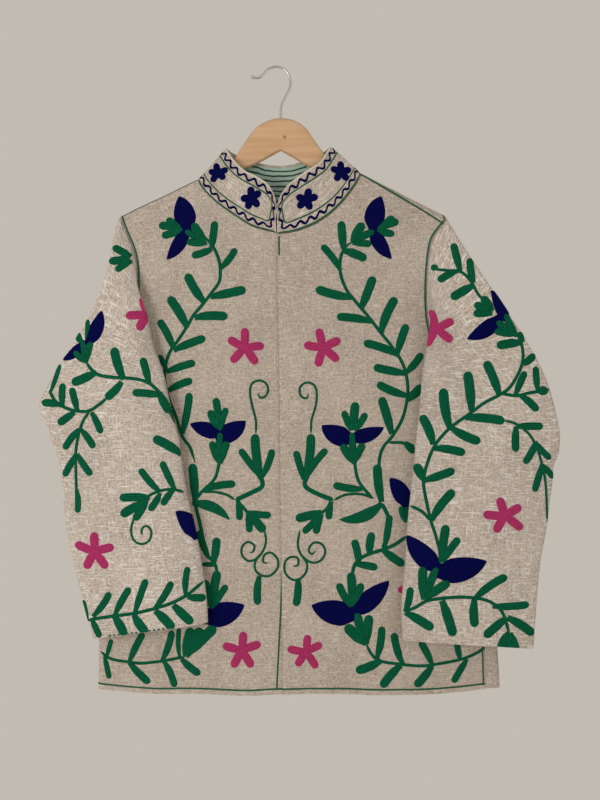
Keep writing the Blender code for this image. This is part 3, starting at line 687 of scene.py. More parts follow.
def neck_ring(count, gap):
    """The neck edge in space, from one front edge round the back to the other."""
    left = spline(NECK_FRONT_LEFT + [neck_point(LEFT, FRONT)], 40)
    back = spline([neck_point(LEFT, BACK)] + NECK_BACK + [neck_point(RIGHT, BACK)], 60)
    right = spline([neck_point(RIGHT, FRONT)] + NECK_FRONT_RIGHT[::-1], 40)
    parts = []
    for face, curve, turn in ((FRONT, left, -1), (BACK, back, 1), (FRONT, right, -1)):
        moved = shift(curve, np.full(len(curve), gap), turn)
        parts.append(wrap(face, moved[:, 0], moved[:, 1]))
    line = np.concatenate([parts[0][:-1], parts[1][1:-1], parts[2][1:]])
    run = run_along(line)
    return places(line, run, np.linspace(0, run[-1], count + 1))


def collar_grid(count, rows):
    base = neck_ring(count, SEAM + 0.9)
    share = np.linspace(0, 1, count + 1)
    top = np.stack([smooth(COLLAR_TOP["share"], COLLAR_TOP[k], share) for k in "xyz"], axis=-1)
    up = np.linspace(0, 1, rows + 1)[:, None, None]
    grid = base[None] * (1 - up) + top[None] * up
    centre = np.array([5.0, -3.0])
    out = unit(grid[..., :2] - centre)
    puff = 2.2 * np.sin(math.pi * up[..., 0])
    grid[..., :2] += out * puff[..., None]
    return grid


# %% Hanger and hook
WOOD = table("x top under", [
    (-210, -212, -218.5),
    (-208, -209, -221),
    (-200, -204.2, -218.5),
    (-160, -185.2, -199.5),
    (-112, -162.6, -175.5),
    (-104, -159.2, -171.5),
    (-84, -147, -162),
    (-58.8, -127.4, -150),
    (-45.4, -107, -143.6),
    (-32.2, -88.2, -137.5),
    (-15.4, -75.6, -129),
    (7, -70, -116.4),
    (26, -73.4, -127),
    (42.7, -84.6, -137.5),
    (56, -103.6, -144.5),
    (67.2, -118.3, -150),
    (92, -138, -157),
    (113, -149.8, -163),
    (122, -153, -167.5),
    (175, -179.5, -194.5),
    (220, -202.4, -217.5),
    (227, -207, -219.5),
    (229, -209.8, -217),
])
HOOK = table("x z", [
    (7, -88),
    (7, -70),
    (7.8, -54),
    (13.5, -41),
    (18.8, -31),
    (20.6, -20),
    (17.4, -8),
    (9.5, -0.6),
    (0, 1.65),
    (-9.5, -1.4),
    (-16.6, -8),
    (-21, -12.6),
    (-25.5, -14.2),
    (-30, -13.6),
])


# %% [markdown]
# ## From grids to meshes
#
# A cloth piece is a thin closed wall. Its outside is cotton and its inside is the striped
# lining. Pattern sizes are kept as UVs, in steps of 100 mm, so that weave and stripes follow
# the grain of each piece.

# %% Grid helpers
def normals(grid, closed):
    """Unit normals of a grid, from its neighbours along and across."""
    if closed:
        across = np.roll(grid, -1, axis=1) - np.roll(grid, 1, axis=1)
    else:
        across = np.gradient(grid, axis=1)
    along = np.gradient(grid, axis=0)
    return unit(np.cross(along, across))


def grain(grid, closed):
    """Pattern sizes measured on the cloth itself, across and along."""
    if closed:
        grid = np.concatenate([grid, grid[:, :1]], axis=1)
    across = np.linalg.norm(np.diff(grid, axis=1), axis=-1).mean(axis=0)
    along = np.linalg.norm(np.diff(grid, axis=0), axis=-1).mean(axis=1)
    u, v = (np.concatenate([[0], np.cumsum(steps)]) for steps in (across, along))
    return np.stack(np.broadcast_arrays(u[None, :], -v[:, None]), axis=-1)


def make_mesh(name, points, faces, uvs, uv_name, materials, indexes=None, sharp=60):
    mesh = bpy.data.meshes.new(name)
    mesh.from_pydata((np.asarray(points) * MM).tolist(), [], [list(map(int, f)) for f in faces])
    layer = mesh.uv_layers.new(name=uv_name)
    flat = np.concatenate([np.asarray(uv, float).reshape(-1) for uv in uvs])
    layer.data.foreach_set("uv", flat * 0.01)
    for material in materials:
        mesh.materials.append(material)
    if indexes is not None:
        mesh.polygons.foreach_set("material_index", np.asarray(indexes, dtype=np.int32))
    work = bmesh.new()
    work.from_mesh(mesh)
    bmesh.ops.recalc_face_normals(work, faces=work.faces)
    work.to_mesh(mesh)
    work.free()
    mesh.shade_smooth()
    mesh.set_sharp_from_angle(angle=math.radians(sharp))
    thing = bpy.data.objects.new(name, mesh)
    bpy.context.scene.collection.objects.link(thing)
    return thing


def cloth_wall(name, grid, facing, thick, closed, uv, outside, inside):
    """Both faces of a cloth piece and its turned edges, as one closed wall."""
    rows, columns = grid.shape[:2]
    lean = facing * np.asarray(thick)[..., None] / 2
    points = np.concatenate([(grid + lean).reshape(-1, 3), (grid - lean).reshape(-1, 3)])
    layer = rows * columns
    wide = columns if closed else columns - 1
    i, j = np.meshgrid(np.arange(rows - 1), np.arange(wide), indexing="ij")
    corners = ((i, j), (i + 1, j), (i + 1, j + 1), (i, j + 1))
    quad = np.stack([r * columns + c % columns for r, c in corners], -1).reshape(-1, 4)
    quad_uv = np.stack([uv[r, c] for r, c in corners], 2).reshape(-1, 4, 2)
    faces = [quad, layer + quad[:, ::-1]]
    uvs = [quad_uv, quad_uv[:, ::-1]]
    indexes = [np.zeros(len(quad)), np.ones(len(quad))]
    rims = []
    for r in (0, rows - 1):
        rims.append([(r, c, r, c + 1) for c in range(wide)])
    if not closed:
        for c in (0, columns - 1):
            rims.append([(r, c, r + 1, c) for r in range(rows - 1)])
    for rim in rims:
        rim = np.array(rim)
        a = rim[:, 0] * columns + rim[:, 1] % columns
        b = rim[:, 2] * columns + rim[:, 3] % columns
        faces.append(np.stack([a, b, layer + b, layer + a], -1))
        edge = np.stack([uv[rim[:, 0], rim[:, 1]], uv[rim[:, 2], rim[:, 3]]], 1)
        uvs.append(np.concatenate([edge, edge[:, ::-1] + 0.6], axis=1))
        indexes.append(np.zeros(len(rim)))
    return make_mesh(name, points, np.concatenate(faces), uvs, "cloth", [outside, inside],
                     np.concatenate(indexes))


def rod(name, path, radii, around, material):
    """A round bar along a path, closed at both ends."""
    ahead = unit(np.gradient(path, axis=0))
    level = np.array([0.0, 1.0, 0.0])
    other = unit(np.cross(ahead, level))
    turn = np.linspace(0, 2 * math.pi, around, endpoint=False)
    ring = np.cos(turn)[None, :, None] * level + np.sin(turn)[None, :, None] * other[:, None]
    points = (path[:, None] + ring * np.asarray(radii)[:, None, None]).reshape(-1, 3)
    return closed_loft(name, points, len(path), around, material)


def closed_loft(name, points, rows, around, material):
    """Joins rings of points and caps both ends."""
    i, j = np.meshgrid(np.arange(rows - 1), np.arange(around), indexing="ij")
    corners = ((i, j), (i, j + 1), (i + 1, j + 1), (i + 1, j))
    quad = np.stack([r * around + c % around for r, c in corners], -1).reshape(-1, 4)
    uv = np.stack([np.stack([c * 2.0, r * 2.0], -1) for r, c in corners], 2).reshape(-1, 4, 2)
    faces = list(quad) + [list(range(around)), list(range((rows - 1) * around, rows * around))]
    uvs = [uv, np.zeros((around * 2, 2))]
    return make_mesh(name, points, faces, uvs, "cloth", [material], sharp=45)


# %% [markdown]
# ## Materials
#
# Each is named for the real thing and the way it was made. One function adds a shader node
# with its settings and links, and short ones on top of it stand for arithmetic, ranges, mixed
# colours and noise. Colours are written as sRGB and turned to linear once.

# %% Colours and nodes
def colour(code):
    """sRGB hex to linear colour."""
    parts = [int(code[i:i + 2], 16) / 255 for i in (1, 3, 5)]
    return tuple(c / 12.92 if c <= 0.04045 else ((c + 0.055) / 1.055) ** 2.4 for c in parts) + (1.0,)


def add(tree, kind, inputs=None, out=0, **settings):
    """Adds a node, sets it, links sockets or sets values, and returns one output."""
    made = tree.nodes.new("ShaderNode" + kind)
    for name, value in settings.items():
        setattr(made, name, value)
    for name, value in (inputs or {}).items():
        if isinstance(value, bpy.types.NodeSocket):
            tree.links.new(value, made.inputs[name])
        else:
            made.inputs[name].default_value = value
    return made.outputs[out] if made.outputs else made


def new_material(name, **finish):
    material = bpy.data.materials.new(name)
    material.use_nodes = True
    tree = material.node_tree
    shader = tree.nodes["Principled BSDF"]
    for key, value in finish.items():
        shader.inputs[key.replace("_", " ").title()].default_value = value
    return material, tree, shader


def number(tree, operation, *values):
    """One step of arithmetic on sockets or values."""
    return add(tree, "Math", dict(enumerate(values)), operation=operation)


def ramp(tree, value, low, high, top=1.0, start=0.0):
    """Turns the range from low to high into start to top."""
    return add(tree, "MapRange", {"Value": value, "From Min": low, "From Max": high,
                                  "To Min": start, "To Max": top})


def mixed(tree, share, low, high):
    """A colour between two others, each a code or a socket."""
    low, high = (colour(c) if isinstance(c, str) else c for c in (low, high))
    return add(tree, "Mix", {0: share, 6: low, 7: high}, out=2, data_type="RGBA")


def split(tree, vector):
    """The numbers of a vector, one by one."""
    made = tree.nodes.new("ShaderNodeSeparateXYZ")
    tree.links.new(vector, made.inputs[0])
    return made.outputs


def noise(tree, vector, scale, detail=2.0, **settings):
    return add(tree, "TexNoise", {"Vector": vector, "Scale": scale, "Detail": detail}, **settings)


def cover(tree, shader, tint, height, distance, strength):
    """Gives a surface its colour and its relief."""
    tree.links.new(tint, shader.inputs["Base Color"])
    bump = add(tree, "Bump", {"Height": height, "Distance": distance, "Strength": strength})
    tree.links.new(bump, shader.inputs["Normal"])


# %% Handloom cotton: thick uneven yarns in both directions
def handloom_cotton(name, pale, dark, slub, shows):
    """A grainy plain weave, and long pale slubs where thick yarns run through it both ways."""
    material, tree, shader = new_material(name, roughness=0.92, sheen_weight=0.15)
    uv = add(tree, "UVMap", out="UV", uv_map="cloth")

    def streaks(across, along, low, high, detail=2.0):
        """Noise drawn out one way, and cut so that only its peaks stay."""
        space = add(tree, "Mapping", {"Vector": uv, "Scale": (across, along, 1.0)})
        return ramp(tree, noise(tree, space, 1.0, detail, noise_dimensions="2D"), low, high)

    slubs = number(tree, "ADD", streaks(5.5, 50.0, 0.52, 0.72), streaks(50.0, 5.0, 0.58, 0.8))
    yarns = number(tree, "ADD", streaks(20.0, 78.0, 0.3, 0.7, 3.0),
                   streaks(78.0, 20.0, 0.3, 0.7, 3.0))
    # plain weave, drawn at 2.8 mm where the real yarns are about 1 mm apart
    spots = add(tree, "VectorMath", {0: uv, 1: (224.4, 224.4, 0)}, operation="MULTIPLY")
    over, under = (number(tree, "SINE", run) for run in split(tree, spots)[:2])
    weave = number(tree, "MULTIPLY", over, under)
    grain = number(tree, "MULTIPLY_ADD", weave, 0.4, yarns)
    height = number(tree, "MULTIPLY_ADD", slubs, 0.8, grain)
    # broad clouds where the cloth is worn and pressed
    cloudy = streaks(1.6, 1.3, 0.2, 0.8, 4.0)
    # The tint follows the weave and yarn grain, darker in the gaps between yarns and paler on them:
    # partly the yarns' own uneven tone, partly painted shade in the gaps
    share = number(tree, "MULTIPLY_ADD", cloudy, 0.3, ramp(tree, grain, 0.1, 1.9))
    ground = mixed(tree, ramp(tree, share, 0.2, 1.15), dark, pale)
    tint = mixed(tree, ramp(tree, slubs, 0.0, 1.0, shows), ground, slub)
    cover(tree, shader, tint, height, 0.0009, 0.8)
    return material


# %% Striped lining: thin smooth cotton, dark green stripes on pale mint
def striped_lining(name, step=7.8):
    material, tree, shader = new_material(name, roughness=0.8, sheen_weight=0.1)
    uv = add(tree, "UVMap", out="UV", uv_map="cloth")
    wander = noise(tree, uv, 3.2, noise_dimensions="2D")
    run = number(tree, "MULTIPLY_ADD", wander, 0.075, split(tree, uv)[1])
    phase = number(tree, "FRACT", number(tree, "MULTIPLY", run, 100.0 / step))
    away = number(tree, "ABSOLUTE", number(tree, "SUBTRACT", phase, 0.5))
    threads = noise(tree, uv, 90.0, noise_dimensions="2D")
    mint = mixed(tree, threads, "#93B5A9", "#BCD5CB")
    tint = mixed(tree, ramp(tree, away, 0.14, 0.2), "#0B4030", mint)
    cover(tree, shader, tint, threads, 0.0003, 0.5)
    return material


# %% Chain stitch: rows of linked loops in soft cotton yarn
def chain_stitch(name, lit, deep, row=2.6, link=3.4):
    """Rows lie side by side along the shape, and each link is a V that points ahead."""
    material, tree, shader = new_material(name, roughness=0.85, sheen_weight=0.0)
    shader.inputs["Specular IOR Level"].default_value = 0.05
    place = split(tree, add(tree, "UVMap", out="UV", uv_map="thread"))
    across = number(tree, "ADD", number(tree, "MULTIPLY", place[0], 100.0 / row), 0.5)
    away = number(tree, "SUBTRACT", number(tree, "FRACT", across), 0.5)
    away = number(tree, "ABSOLUTE", away)
    ahead = number(tree, "MULTIPLY_ADD", place[1], 100.0 / link, away)
    loop = number(tree, "SINE", number(tree, "MULTIPLY", ahead, math.pi))
    loop = number(tree, "ABSOLUTE", loop)
    height = number(tree, "MULTIPLY_ADD", loop, 0.55, 0.45)
    height = number(tree, "MULTIPLY", height, ramp(tree, away, 0.5, 0.12))
    # lit and deep are one thread colour in light and in shade; the colour runs from deep in the
    # grooves between loops and rows to lit on their tops, a painted shade, with a noise for the
    # yarn's uneven tone
    uneven = noise(tree, add(tree, "TexCoord", out="Object"), 160.0)
    share = number(tree, "MULTIPLY_ADD", uneven, 0.7, -0.2)
    share = number(tree, "ADD", share, height)
    cover(tree, shader, mixed(tree, share, deep, lit), height, 0.0011, 0.85)
    return material


# %% Hanger wood: pale lacquered timber with long grain and one small knot
def lacquered_wood(name):
    material, tree, shader = new_material(name, roughness=0.42, coat_weight=0.25,
                                          coat_roughness=0.2)
    place = add(tree, "TexCoord", out="Object")
    long_grain = add(tree, "Mapping", {"Vector": place, "Scale": (9.0, 130.0, 130.0),
                                       "Rotation": (0, 0.35, 0)})
    fibre = noise(tree, long_grain, 1.0, 5.0)
    rings = noise(tree, long_grain, 0.35, 1.0)
    tint = mixed(tree, ramp(tree, fibre, 0.35, 0.7), "#C39D76", "#D6B590")
    tint = mixed(tree, ramp(tree, rings, 0.4, 0.7, 0.3), tint, "#CBA27A")
    near = add(tree, "VectorMath", {0: place, 1: (0.0126, -0.0057, -0.098)}, out="Value",
               operation="DISTANCE")
    tint = mixed(tree, ramp(tree, near, 0.0034, 0.0012, 0.7), tint, "#6E4424")
    cover(tree, shader, tint, fibre, 0.0002, 0.4)
    return material


# %% Hook: bright plated steel wire, faintly drawn
def plated_wire(name):
    material, tree, shader = new_material(name, metallic=1.0)
    shader.inputs["Base Color"].default_value = colour("#C4C5C7")
    smudge = noise(tree, add(tree, "TexCoord", out="Object"), 240.0)
    rough = ramp(tree, smudge, 0.0, 1.0, 0.36, 0.26)
    tree.links.new(rough, shader.inputs["Roughness"])
    return material


# One cotton in copies: the body's is drawn darker than the sleeves', a painted shade, and the
# sleeves' paler with more white slubs showing, a painted light
SHADED_BODY_COTTON = handloom_cotton("body_handloom_cotton_painted_shade", "#DDD3C9", "#A09487",
                               "#F3ECE3", 0.5)
LIT_SLEEVE_COTTON = handloom_cotton("sleeve_handloom_cotton_painted_light", "#ECE3DA", "#A29588",
                                "#FFFFFC", 0.72)
COLLAR_COTTON = handloom_cotton("collar_handloom_cotton", "#E2D9CF", "#A29689",
                                "#FFFCF6", 0.6)
LINING_STRIPE = striped_lining("striped_lining_cotton")
GREEN = chain_stitch("green_chain_stitch", "#0B6C4B", "#043625")
NAVY = chain_stitch("navy_chain_stitch", "#050A59", "#02041B")
PINK = chain_stitch("pink_chain_stitch", "#C23F79", "#84214E")
GREEN_LINE = chain_stitch("green_seam_cord", "#2C6B50", "#143E2C", row=3.0, link=3.0)
# The collar's real folded edge, its thread drawn near white as a painted highlight
FOLDED_EDGE_HIGHLIGHT = chain_stitch("folded_collar_edge_painted_highlight", "#F6F1E9", "#CFC6BA", row=2.4, link=2.4)
WOOD_LACQUER = lacquered_wood("lacquered_hanger_wood")
HOOK_PLATE = plated_wire("plated_hook_wire")
print("materials", len(bpy.data.materials))

# %% [markdown]
# ## Sewing the jacket
#
# Every panel is cut, wrapped and thickened. Flat sizes are measured on the cloth itself, kept
# and printed.

# %% Cut and measure
pieces = {}


def cut_size(grid, closed=False):
    """Width, length and area of a piece laid flat, in metres."""
    whole = np.concatenate([grid, grid[:, :1]], axis=1) if closed else grid
    width = np.linalg.norm(np.diff(whole, axis=1), axis=-1).sum(axis=1).max()
    length = np.linalg.norm(np.diff(whole, axis=0), axis=-1).sum(axis=0).max()
    a = np.cross(whole[1:, 1:] - whole[:-1, :-1], whole[1:, :-1] - whole[:-1, 1:])
    area = np.linalg.norm(a, axis=-1).sum() / 2
    return width * MM, length * MM, area * MM * MM


def sew(name, node, grid, facing, thick, closed, uv, outside, held_on, inside=None):
    """Makes the cloth piece, puts it in place of its solid and keeps its cut."""
    thing = cloth_wall(name, grid, facing, thick, closed, uv, outside, inside or LINING_STRIPE)
    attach(thing, "root")
    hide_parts(node)
    pieces[name] = {"thing": thing, "cut": cut_size(grid, closed), "with": [], "on": held_on}
    print(name, "cut %.3f x %.3f m, %.4f m2" % pieces[name]["cut"])
    return thing


# %% Fronts and back
# sewn cloth overlaps from the collar down, where the solids keep a gap
FRONT_EDGE["under"][:3] = 2.6, 5.5, 9
front_place = {LEFT: body_cloth(FRONT, LEFT), RIGHT: body_cloth(FRONT, RIGHT)}
back_place = body_cloth(BACK)
front_cut = {}
for side, name in ((LEFT, "right_front"), (RIGHT, "left_front")):
    pattern = front_pattern(side)
    front_cut[side] = pattern
    grid, facing = front_place[side](pattern[..., 0], pattern[..., 1])
    sew(name + "_cloth", name, grid, facing, CLOTH, False, pattern, SHADED_BODY_COTTON, "hanger_wood")

back_cut = back_pattern()
back_grid, back_facing = back_place(back_cut[..., 0], back_cut[..., 1])
sew("back_cloth", "back", back_grid, back_facing, CLOTH, False, back_cut, SHADED_BODY_COTTON,
    "hanger_wood")

# %% Sleeves
for side, name in ((LEFT, "right_sleeve"), (RIGHT, "left_sleeve")):
    grid = sleeve_grid(side, TOP_ROWS, RINGS)
    facing = normals(grid, True) * -side
    for again in range(4):
        beside = np.roll(facing, 1, axis=1) + np.roll(facing, -1, axis=1)
        above = np.concatenate([facing[:1], facing[:-1]])
        below = np.concatenate([facing[1:], facing[-1:]])
        facing = unit(facing * 2 + beside * 0.5 + above * 0.5 + below * 0.5)
    around = np.arange(grid.shape[1]) / grid.shape[1]
    along = np.array([0] + list(RINGS))[:, None]
    bunch = np.exp(-((around[None] - 0.5) / 0.2) ** 2) * (1 - ease(along / 7))
    sew(name + "_cloth", name, grid, facing, CLOTH - 0.75 * bunch, True, grain(grid, True),
        LIT_SLEEVE_COTTON, "right_front_cloth" if side == LEFT else "left_front_cloth")

# %% Collar and the linings that show
collar = collar_grid(176, 16)
collar_facing = normals(collar, False)
sew("collar_cloth", "collar", collar, collar_facing, CLOTH, False, grain(collar, False),
    COLLAR_COTTON, "hanger_wood", COLLAR_COTTON)
inward = (CLOTH + LINING) / 2 + LINING_GAP
inner = collar[:, 4:-4] - collar_facing[:, 4:-4] * inward
inner = inner[1:-1]
sew("collar_lining_cloth", "collar_lining", inner, collar_facing[1:-1, 4:-4], LINING, False,
    grain(inner, False), LINING_STRIPE, "collar_cloth")
first = len(EDGE_COLUMNS) - 1
yoke = (slice(0, 25), slice(first + 9, first + len(BACK_NECK_COLUMNS) - 9))
yoke_grid = back_grid[yoke] - back_facing[yoke] * inward
sew("back_lining_cloth", "back_lining", yoke_grid, back_facing[yoke], LINING, False,
    back_cut[yoke], LINING_STRIPE, "back_cloth")

# %% Hanger: one piece of wood, and the wire hook in it
across = np.unique(np.concatenate([WOOD["x"], np.linspace(-210, 229, 150)]))
top = smooth(WOOD["x"], WOOD["top"] - 0.5, across)
under = np.interp(across, WOOD["x"], WOOD["under"])
wood_points = []
for x, high, low in zip(across, top, under):
    mid, tall = (high + low) / 2, (high - low) / 2
    half = HANGER_THICK / 2
    r = min(half, tall)
    thin = half if tall >= half else half * (0.5 + 0.5 * tall / half)
    turn = 2 * math.pi * (np.arange(32) + 0.5) / 32
    lift = np.where(np.sin(turn) > 0, tall - r, r - tall)
    wood_points.append(np.stack([np.full(32, x), thin * np.cos(turn),
                                 mid + lift + r * np.sin(turn)], -1))
hanger = closed_loft("hanger_wood", np.concatenate(wood_points), len(across), 32, WOOD_LACQUER)
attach(hanger, "root")
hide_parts("hanger_body")
line = spline(list(zip(HOOK["x"], HOOK["z"])), 120)
path = np.stack([line[:, 0], np.zeros(len(line)), line[:, 1]], axis=-1)
radii = [WIRE / 2] * len(path)
way = unit(path[-1] - path[-2])
end = path[-1]
# a small ball at the end of the wire
for angle in range(150, 10, -10):
    path = np.concatenate([path, [end + way * 2.5 * (1 + math.cos(math.radians(angle)))]])
    radii.append(2.5 * math.sin(math.radians(angle)))
hook = rod("hook_wire", path, radii, 24, HOOK_PLATE)
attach(hook, "root")
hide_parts("hanger_hook")
print("hanger and hook", len(path), "steps of wire")


# %% [markdown]
# ## Laying chain stitch on the cloth
#
# A motif is a path with a width. It is laid on the finished cloth as a low domed band, whose
# UVs count millimetres across and along, for the rows of stitches. What would run off the
# cloth's edge is left out, as embroidery stops at a seam.

# %% Surfaces that stitches are laid on
def inside_cut(outline, x, z):
    """Whether flat places are inside a pattern outline."""
    hit = np.zeros(np.shape(x), bool)
    for (ax, az), (bx, bz) in zip(outline, np.roll(outline, -1, axis=0)):
        crosses = (az > z) != (bz > z)
        with np.errstate(divide="ignore", invalid="ignore"):
            hit ^= crosses & (x < (bx - ax) * (z - az) / (bz - az) + ax)
    return hit


def rim(pattern):
    return np.concatenate([pattern[0], pattern[1:, -1], pattern[-1, -2::-1], pattern[-2:0:-1, 0]])


def on_body(place, pattern):
    outline = rim(pattern)

    def surface(x, z):
        points, facing = place(x, z)
        return points + facing * CLOTH / 2, facing, inside_cut(outline, x, z)
    return surface


def laid_on(thing, toward):
    """Lays flat marks on a finished piece as it is seen from the front or the back."""
    mesh = thing.data
    tree = BVHTree.FromPolygons([v.co / MM for v in mesh.vertices],
                                [tuple(p.vertices) for p in mesh.polygons])

    def surface(x, z):
        points = np.zeros(np.shape(x) + (3,))
        facing = np.zeros_like(points)
        inside = np.zeros(np.shape(x), bool)
        for i in np.ndindex(np.shape(x)):
            ray = Vector((x[i], -toward * 300, z[i]))
            hit, normal, face, far = tree.ray_cast(ray, Vector((0, toward, 0)))
            if hit is not None and normal.y * toward < -0.1:
                points[i] = hit
                facing[i] = normal
                inside[i] = True
        return points, facing, inside
    return surface


def on_grid(grid, facing, wide, high):
    """Lays marks along and up a grid piece, such as the collar."""
    def surface(a, b):
        r = np.clip(b / high, 0, 1) * (grid.shape[0] - 1)
        c = np.clip(a / wide, 0, 1) * (grid.shape[1] - 1)
        r0 = np.minimum(r.astype(int), grid.shape[0] - 2)
        c0 = np.minimum(c.astype(int), grid.shape[1] - 2)
        fr, fc = (r - r0)[..., None], (c - c0)[..., None]

        def mix(field):
            low = field[r0, c0] * (1 - fc) + field[r0, c0 + 1] * fc
            high_row = field[r0 + 1, c0] * (1 - fc) + field[r0 + 1, c0 + 1] * fc
            return low * (1 - fr) + high_row * fr

        way = unit(mix(facing))
        return mix(grid) + way * CLOTH / 2, way, np.ones(np.shape(a), bool)
    return surface


# %% Bands of stitches
STEM_STEP = 3.5
CORD_STEP = 2.5


def new_thread():
    return {"points": [], "faces": [], "uvs": [], "count": 0}


def stitch(thread, surface, path, widths, high=1.1, lanes=6):
    """One band: a domed strip along a path, its edges just below the cloth's face."""
    path = np.asarray(path, float)
    widths = np.asarray(widths, float)
    for finer_cut in (False, True):
        way = unit(np.gradient(path, axis=0))
        beside = np.stack([-way[:, 1], way[:, 0]], axis=-1)
        u = np.linspace(-1, 1, lanes + 1)
        flat = path[:, None] + beside[:, None] * (widths[:, None] / 2 * u)[..., None]
        points, facing, inside = surface(flat[..., 0], flat[..., 1])
        if finer_cut or inside.all() or not inside.any():
            break
        # it runs off the cloth, so it is cut off there in smaller steps
        at = np.linspace(0, len(path) - 1, (len(path) - 1) * 4 + 1)
        path = places(path, np.arange(len(path)), at)
        widths = np.interp(at, np.arange(len(widths)), widths)
        lanes = lanes * 3
    dome = np.sqrt(np.clip(1 - np.abs(u) ** 3, 0, 1))[None] * np.clip(widths / 4, 0.15, 1)[:, None]
    points = points + facing * (high * dome - 0.12)[..., None]
    run = run_along(path)
    marks = np.stack(np.broadcast_arrays(widths[:, None] / 2 * u, run[:, None]), axis=-1)
    rows, columns = inside.shape
    base = thread["count"]
    for i in range(rows - 1):
        for j in range(columns - 1):
            corners = ((i, j), (i + 1, j), (i + 1, j + 1), (i, j + 1))
            if all(inside[c] for c in corners):
                thread["faces"].append([base + r * columns + c for r, c in corners])
                thread["uvs"].append([marks[c] for c in corners])
    thread["points"].append(points.reshape(-1, 3))
    thread["count"] += rows * columns


def bowed(x, z, tip_x, tip_z, bow, steps=14):
    """A curved line from a base to a tip, its steps closer together near the tip."""
    t = np.sin(np.linspace(0, math.pi / 2, steps))[:, None]
    a, b = np.array([x, z], float), np.array([tip_x, tip_z], float)
    way = b - a
    mid = (a + b) / 2 + np.array([-way[1], way[0]]) / max(np.hypot(*way), 1e-6) * bow * 2
    return a * (1 - t) ** 2 + mid * 2 * t * (1 - t) + b * t ** 2


def finger(wide, long, foot=0.6, steps=14):
    """Widths of a leaf: even almost from its foot, with a round tip."""
    t = np.sin(np.linspace(0, math.pi / 2, steps))
    round_end = min(0.5, wide * 0.55 / max(long, 1))
    body = foot + (1 - foot) * ease(t / 0.4)
    tip = np.sqrt(np.clip(1 - (np.clip(t - 1 + round_end, 0, 1) / round_end) ** 2, 0, 1))
    return wide * body * tip + 0.3


def wing(wide, steps=20):
    """Widths of a flower's petal: broad in the middle and drawn out to a point."""
    t = np.sin(np.linspace(0, math.pi / 2, steps))
    foot = 0.45 + 0.55 * ease(t / 0.35)
    tip = np.clip(1 - (np.clip(t - 0.42, 0, 1) / 0.58) ** 2.0, 0, 1) ** 0.85
    return wide * foot * tip + 0.3


def stem_width(wide, steps):
    t = np.linspace(0, 1, steps)
    return wide * np.clip(np.minimum(t, 1 - t) * 14 + 0.35, 0, 1)


def star(thread, surface, x, z, radius, turn, share=0.45, foot=0.62):
    """Five petals round one middle, uneven as hand work is."""
    for k in range(5):
        a = math.radians(90 + turn + 72 * k + 7 * math.sin(2.1 * k + x))
        reach = radius * (1 + 0.07 * math.sin(3.3 * k + z))
        tip = (x + reach * math.cos(a), z + reach * math.sin(a))
        widths = finger(radius * share, reach, foot)
        stitch(thread, surface, bowed(x, z, *tip, 0.6 * math.sin(k * 2.2)), widths, 1.3)


def embroider(name, surface, stems, leaves, calyx, petals, stars):
    """Lays one piece's motifs and makes one mesh for each thread."""
    green, navy, pink = new_thread(), new_thread(), new_thread()
    for wide, points in stems:
        steps = max(int(run_along(points)[-1] / STEM_STEP), 6)
        line = spline(points, steps)
        stitch(green, surface, line, stem_width(wide, len(line)), 1.0, 4)
    for i, row in enumerate(zip(*(leaves[k] for k in ("x", "z", "tip_x", "tip_z", "wide")))):
        long = math.hypot(row[2] - row[0], row[3] - row[1])
        bow = long * 0.05 * math.sin(i * 2.4)
        # a width below zero marks a leaf that is drawn out to a point
        if row[4] < 0:
            stitch(green, surface, bowed(*row[:4], long * 0.12, 20), wing(-row[4]), 1.2)
        else:
            stitch(green, surface, bowed(*row[:4], bow), finger(row[4], long), 1.2)
    for row in zip(*(calyx[k] for k in ("x", "z", "tip_x", "tip_z", "wide"))):
        long = math.hypot(row[2] - row[0], row[3] - row[1])
        stitch(green, surface, bowed(*row[:4], 0.8), finger(row[4], long, 0.5), 1.8)
    for row in zip(*(petals[k] for k in ("x", "z", "tip_x", "tip_z", "bow", "wide"))):
        stitch(navy, surface, bowed(*row[:5], steps=20), wing(row[5]), 1.4, 10)
    for row in zip(*(stars[k] for k in ("x", "z", "radius", "turn"))):
        star(pink, surface, *row)
    finish_threads(name, (("green", green, GREEN), ("navy", navy, NAVY), ("pink", pink, PINK)))


def finish_threads(name, threads):
    for word, thread, material in threads:
        if not thread["faces"]:
            continue
        points = np.concatenate(thread["points"])
        used = np.unique(np.array(thread["faces"]))
        new = np.zeros(len(points), int)
        new[used] = np.arange(len(used))
        faces = new[np.array(thread["faces"])]
        thing = make_mesh(name + "_" + word + "_stitch", points[used], faces, thread["uvs"],
                          "thread", [material], sharp=80)
        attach(thing, "root")
        pieces[name + "_cloth"]["with"].append(thing)


# %% [markdown]
# ## Motifs
#
# Stems are short lists of places, and leaves, stamens and petals are rows from foot to tip.
# The left and right sides are near mirror images, drawn by hand and never quite alike.

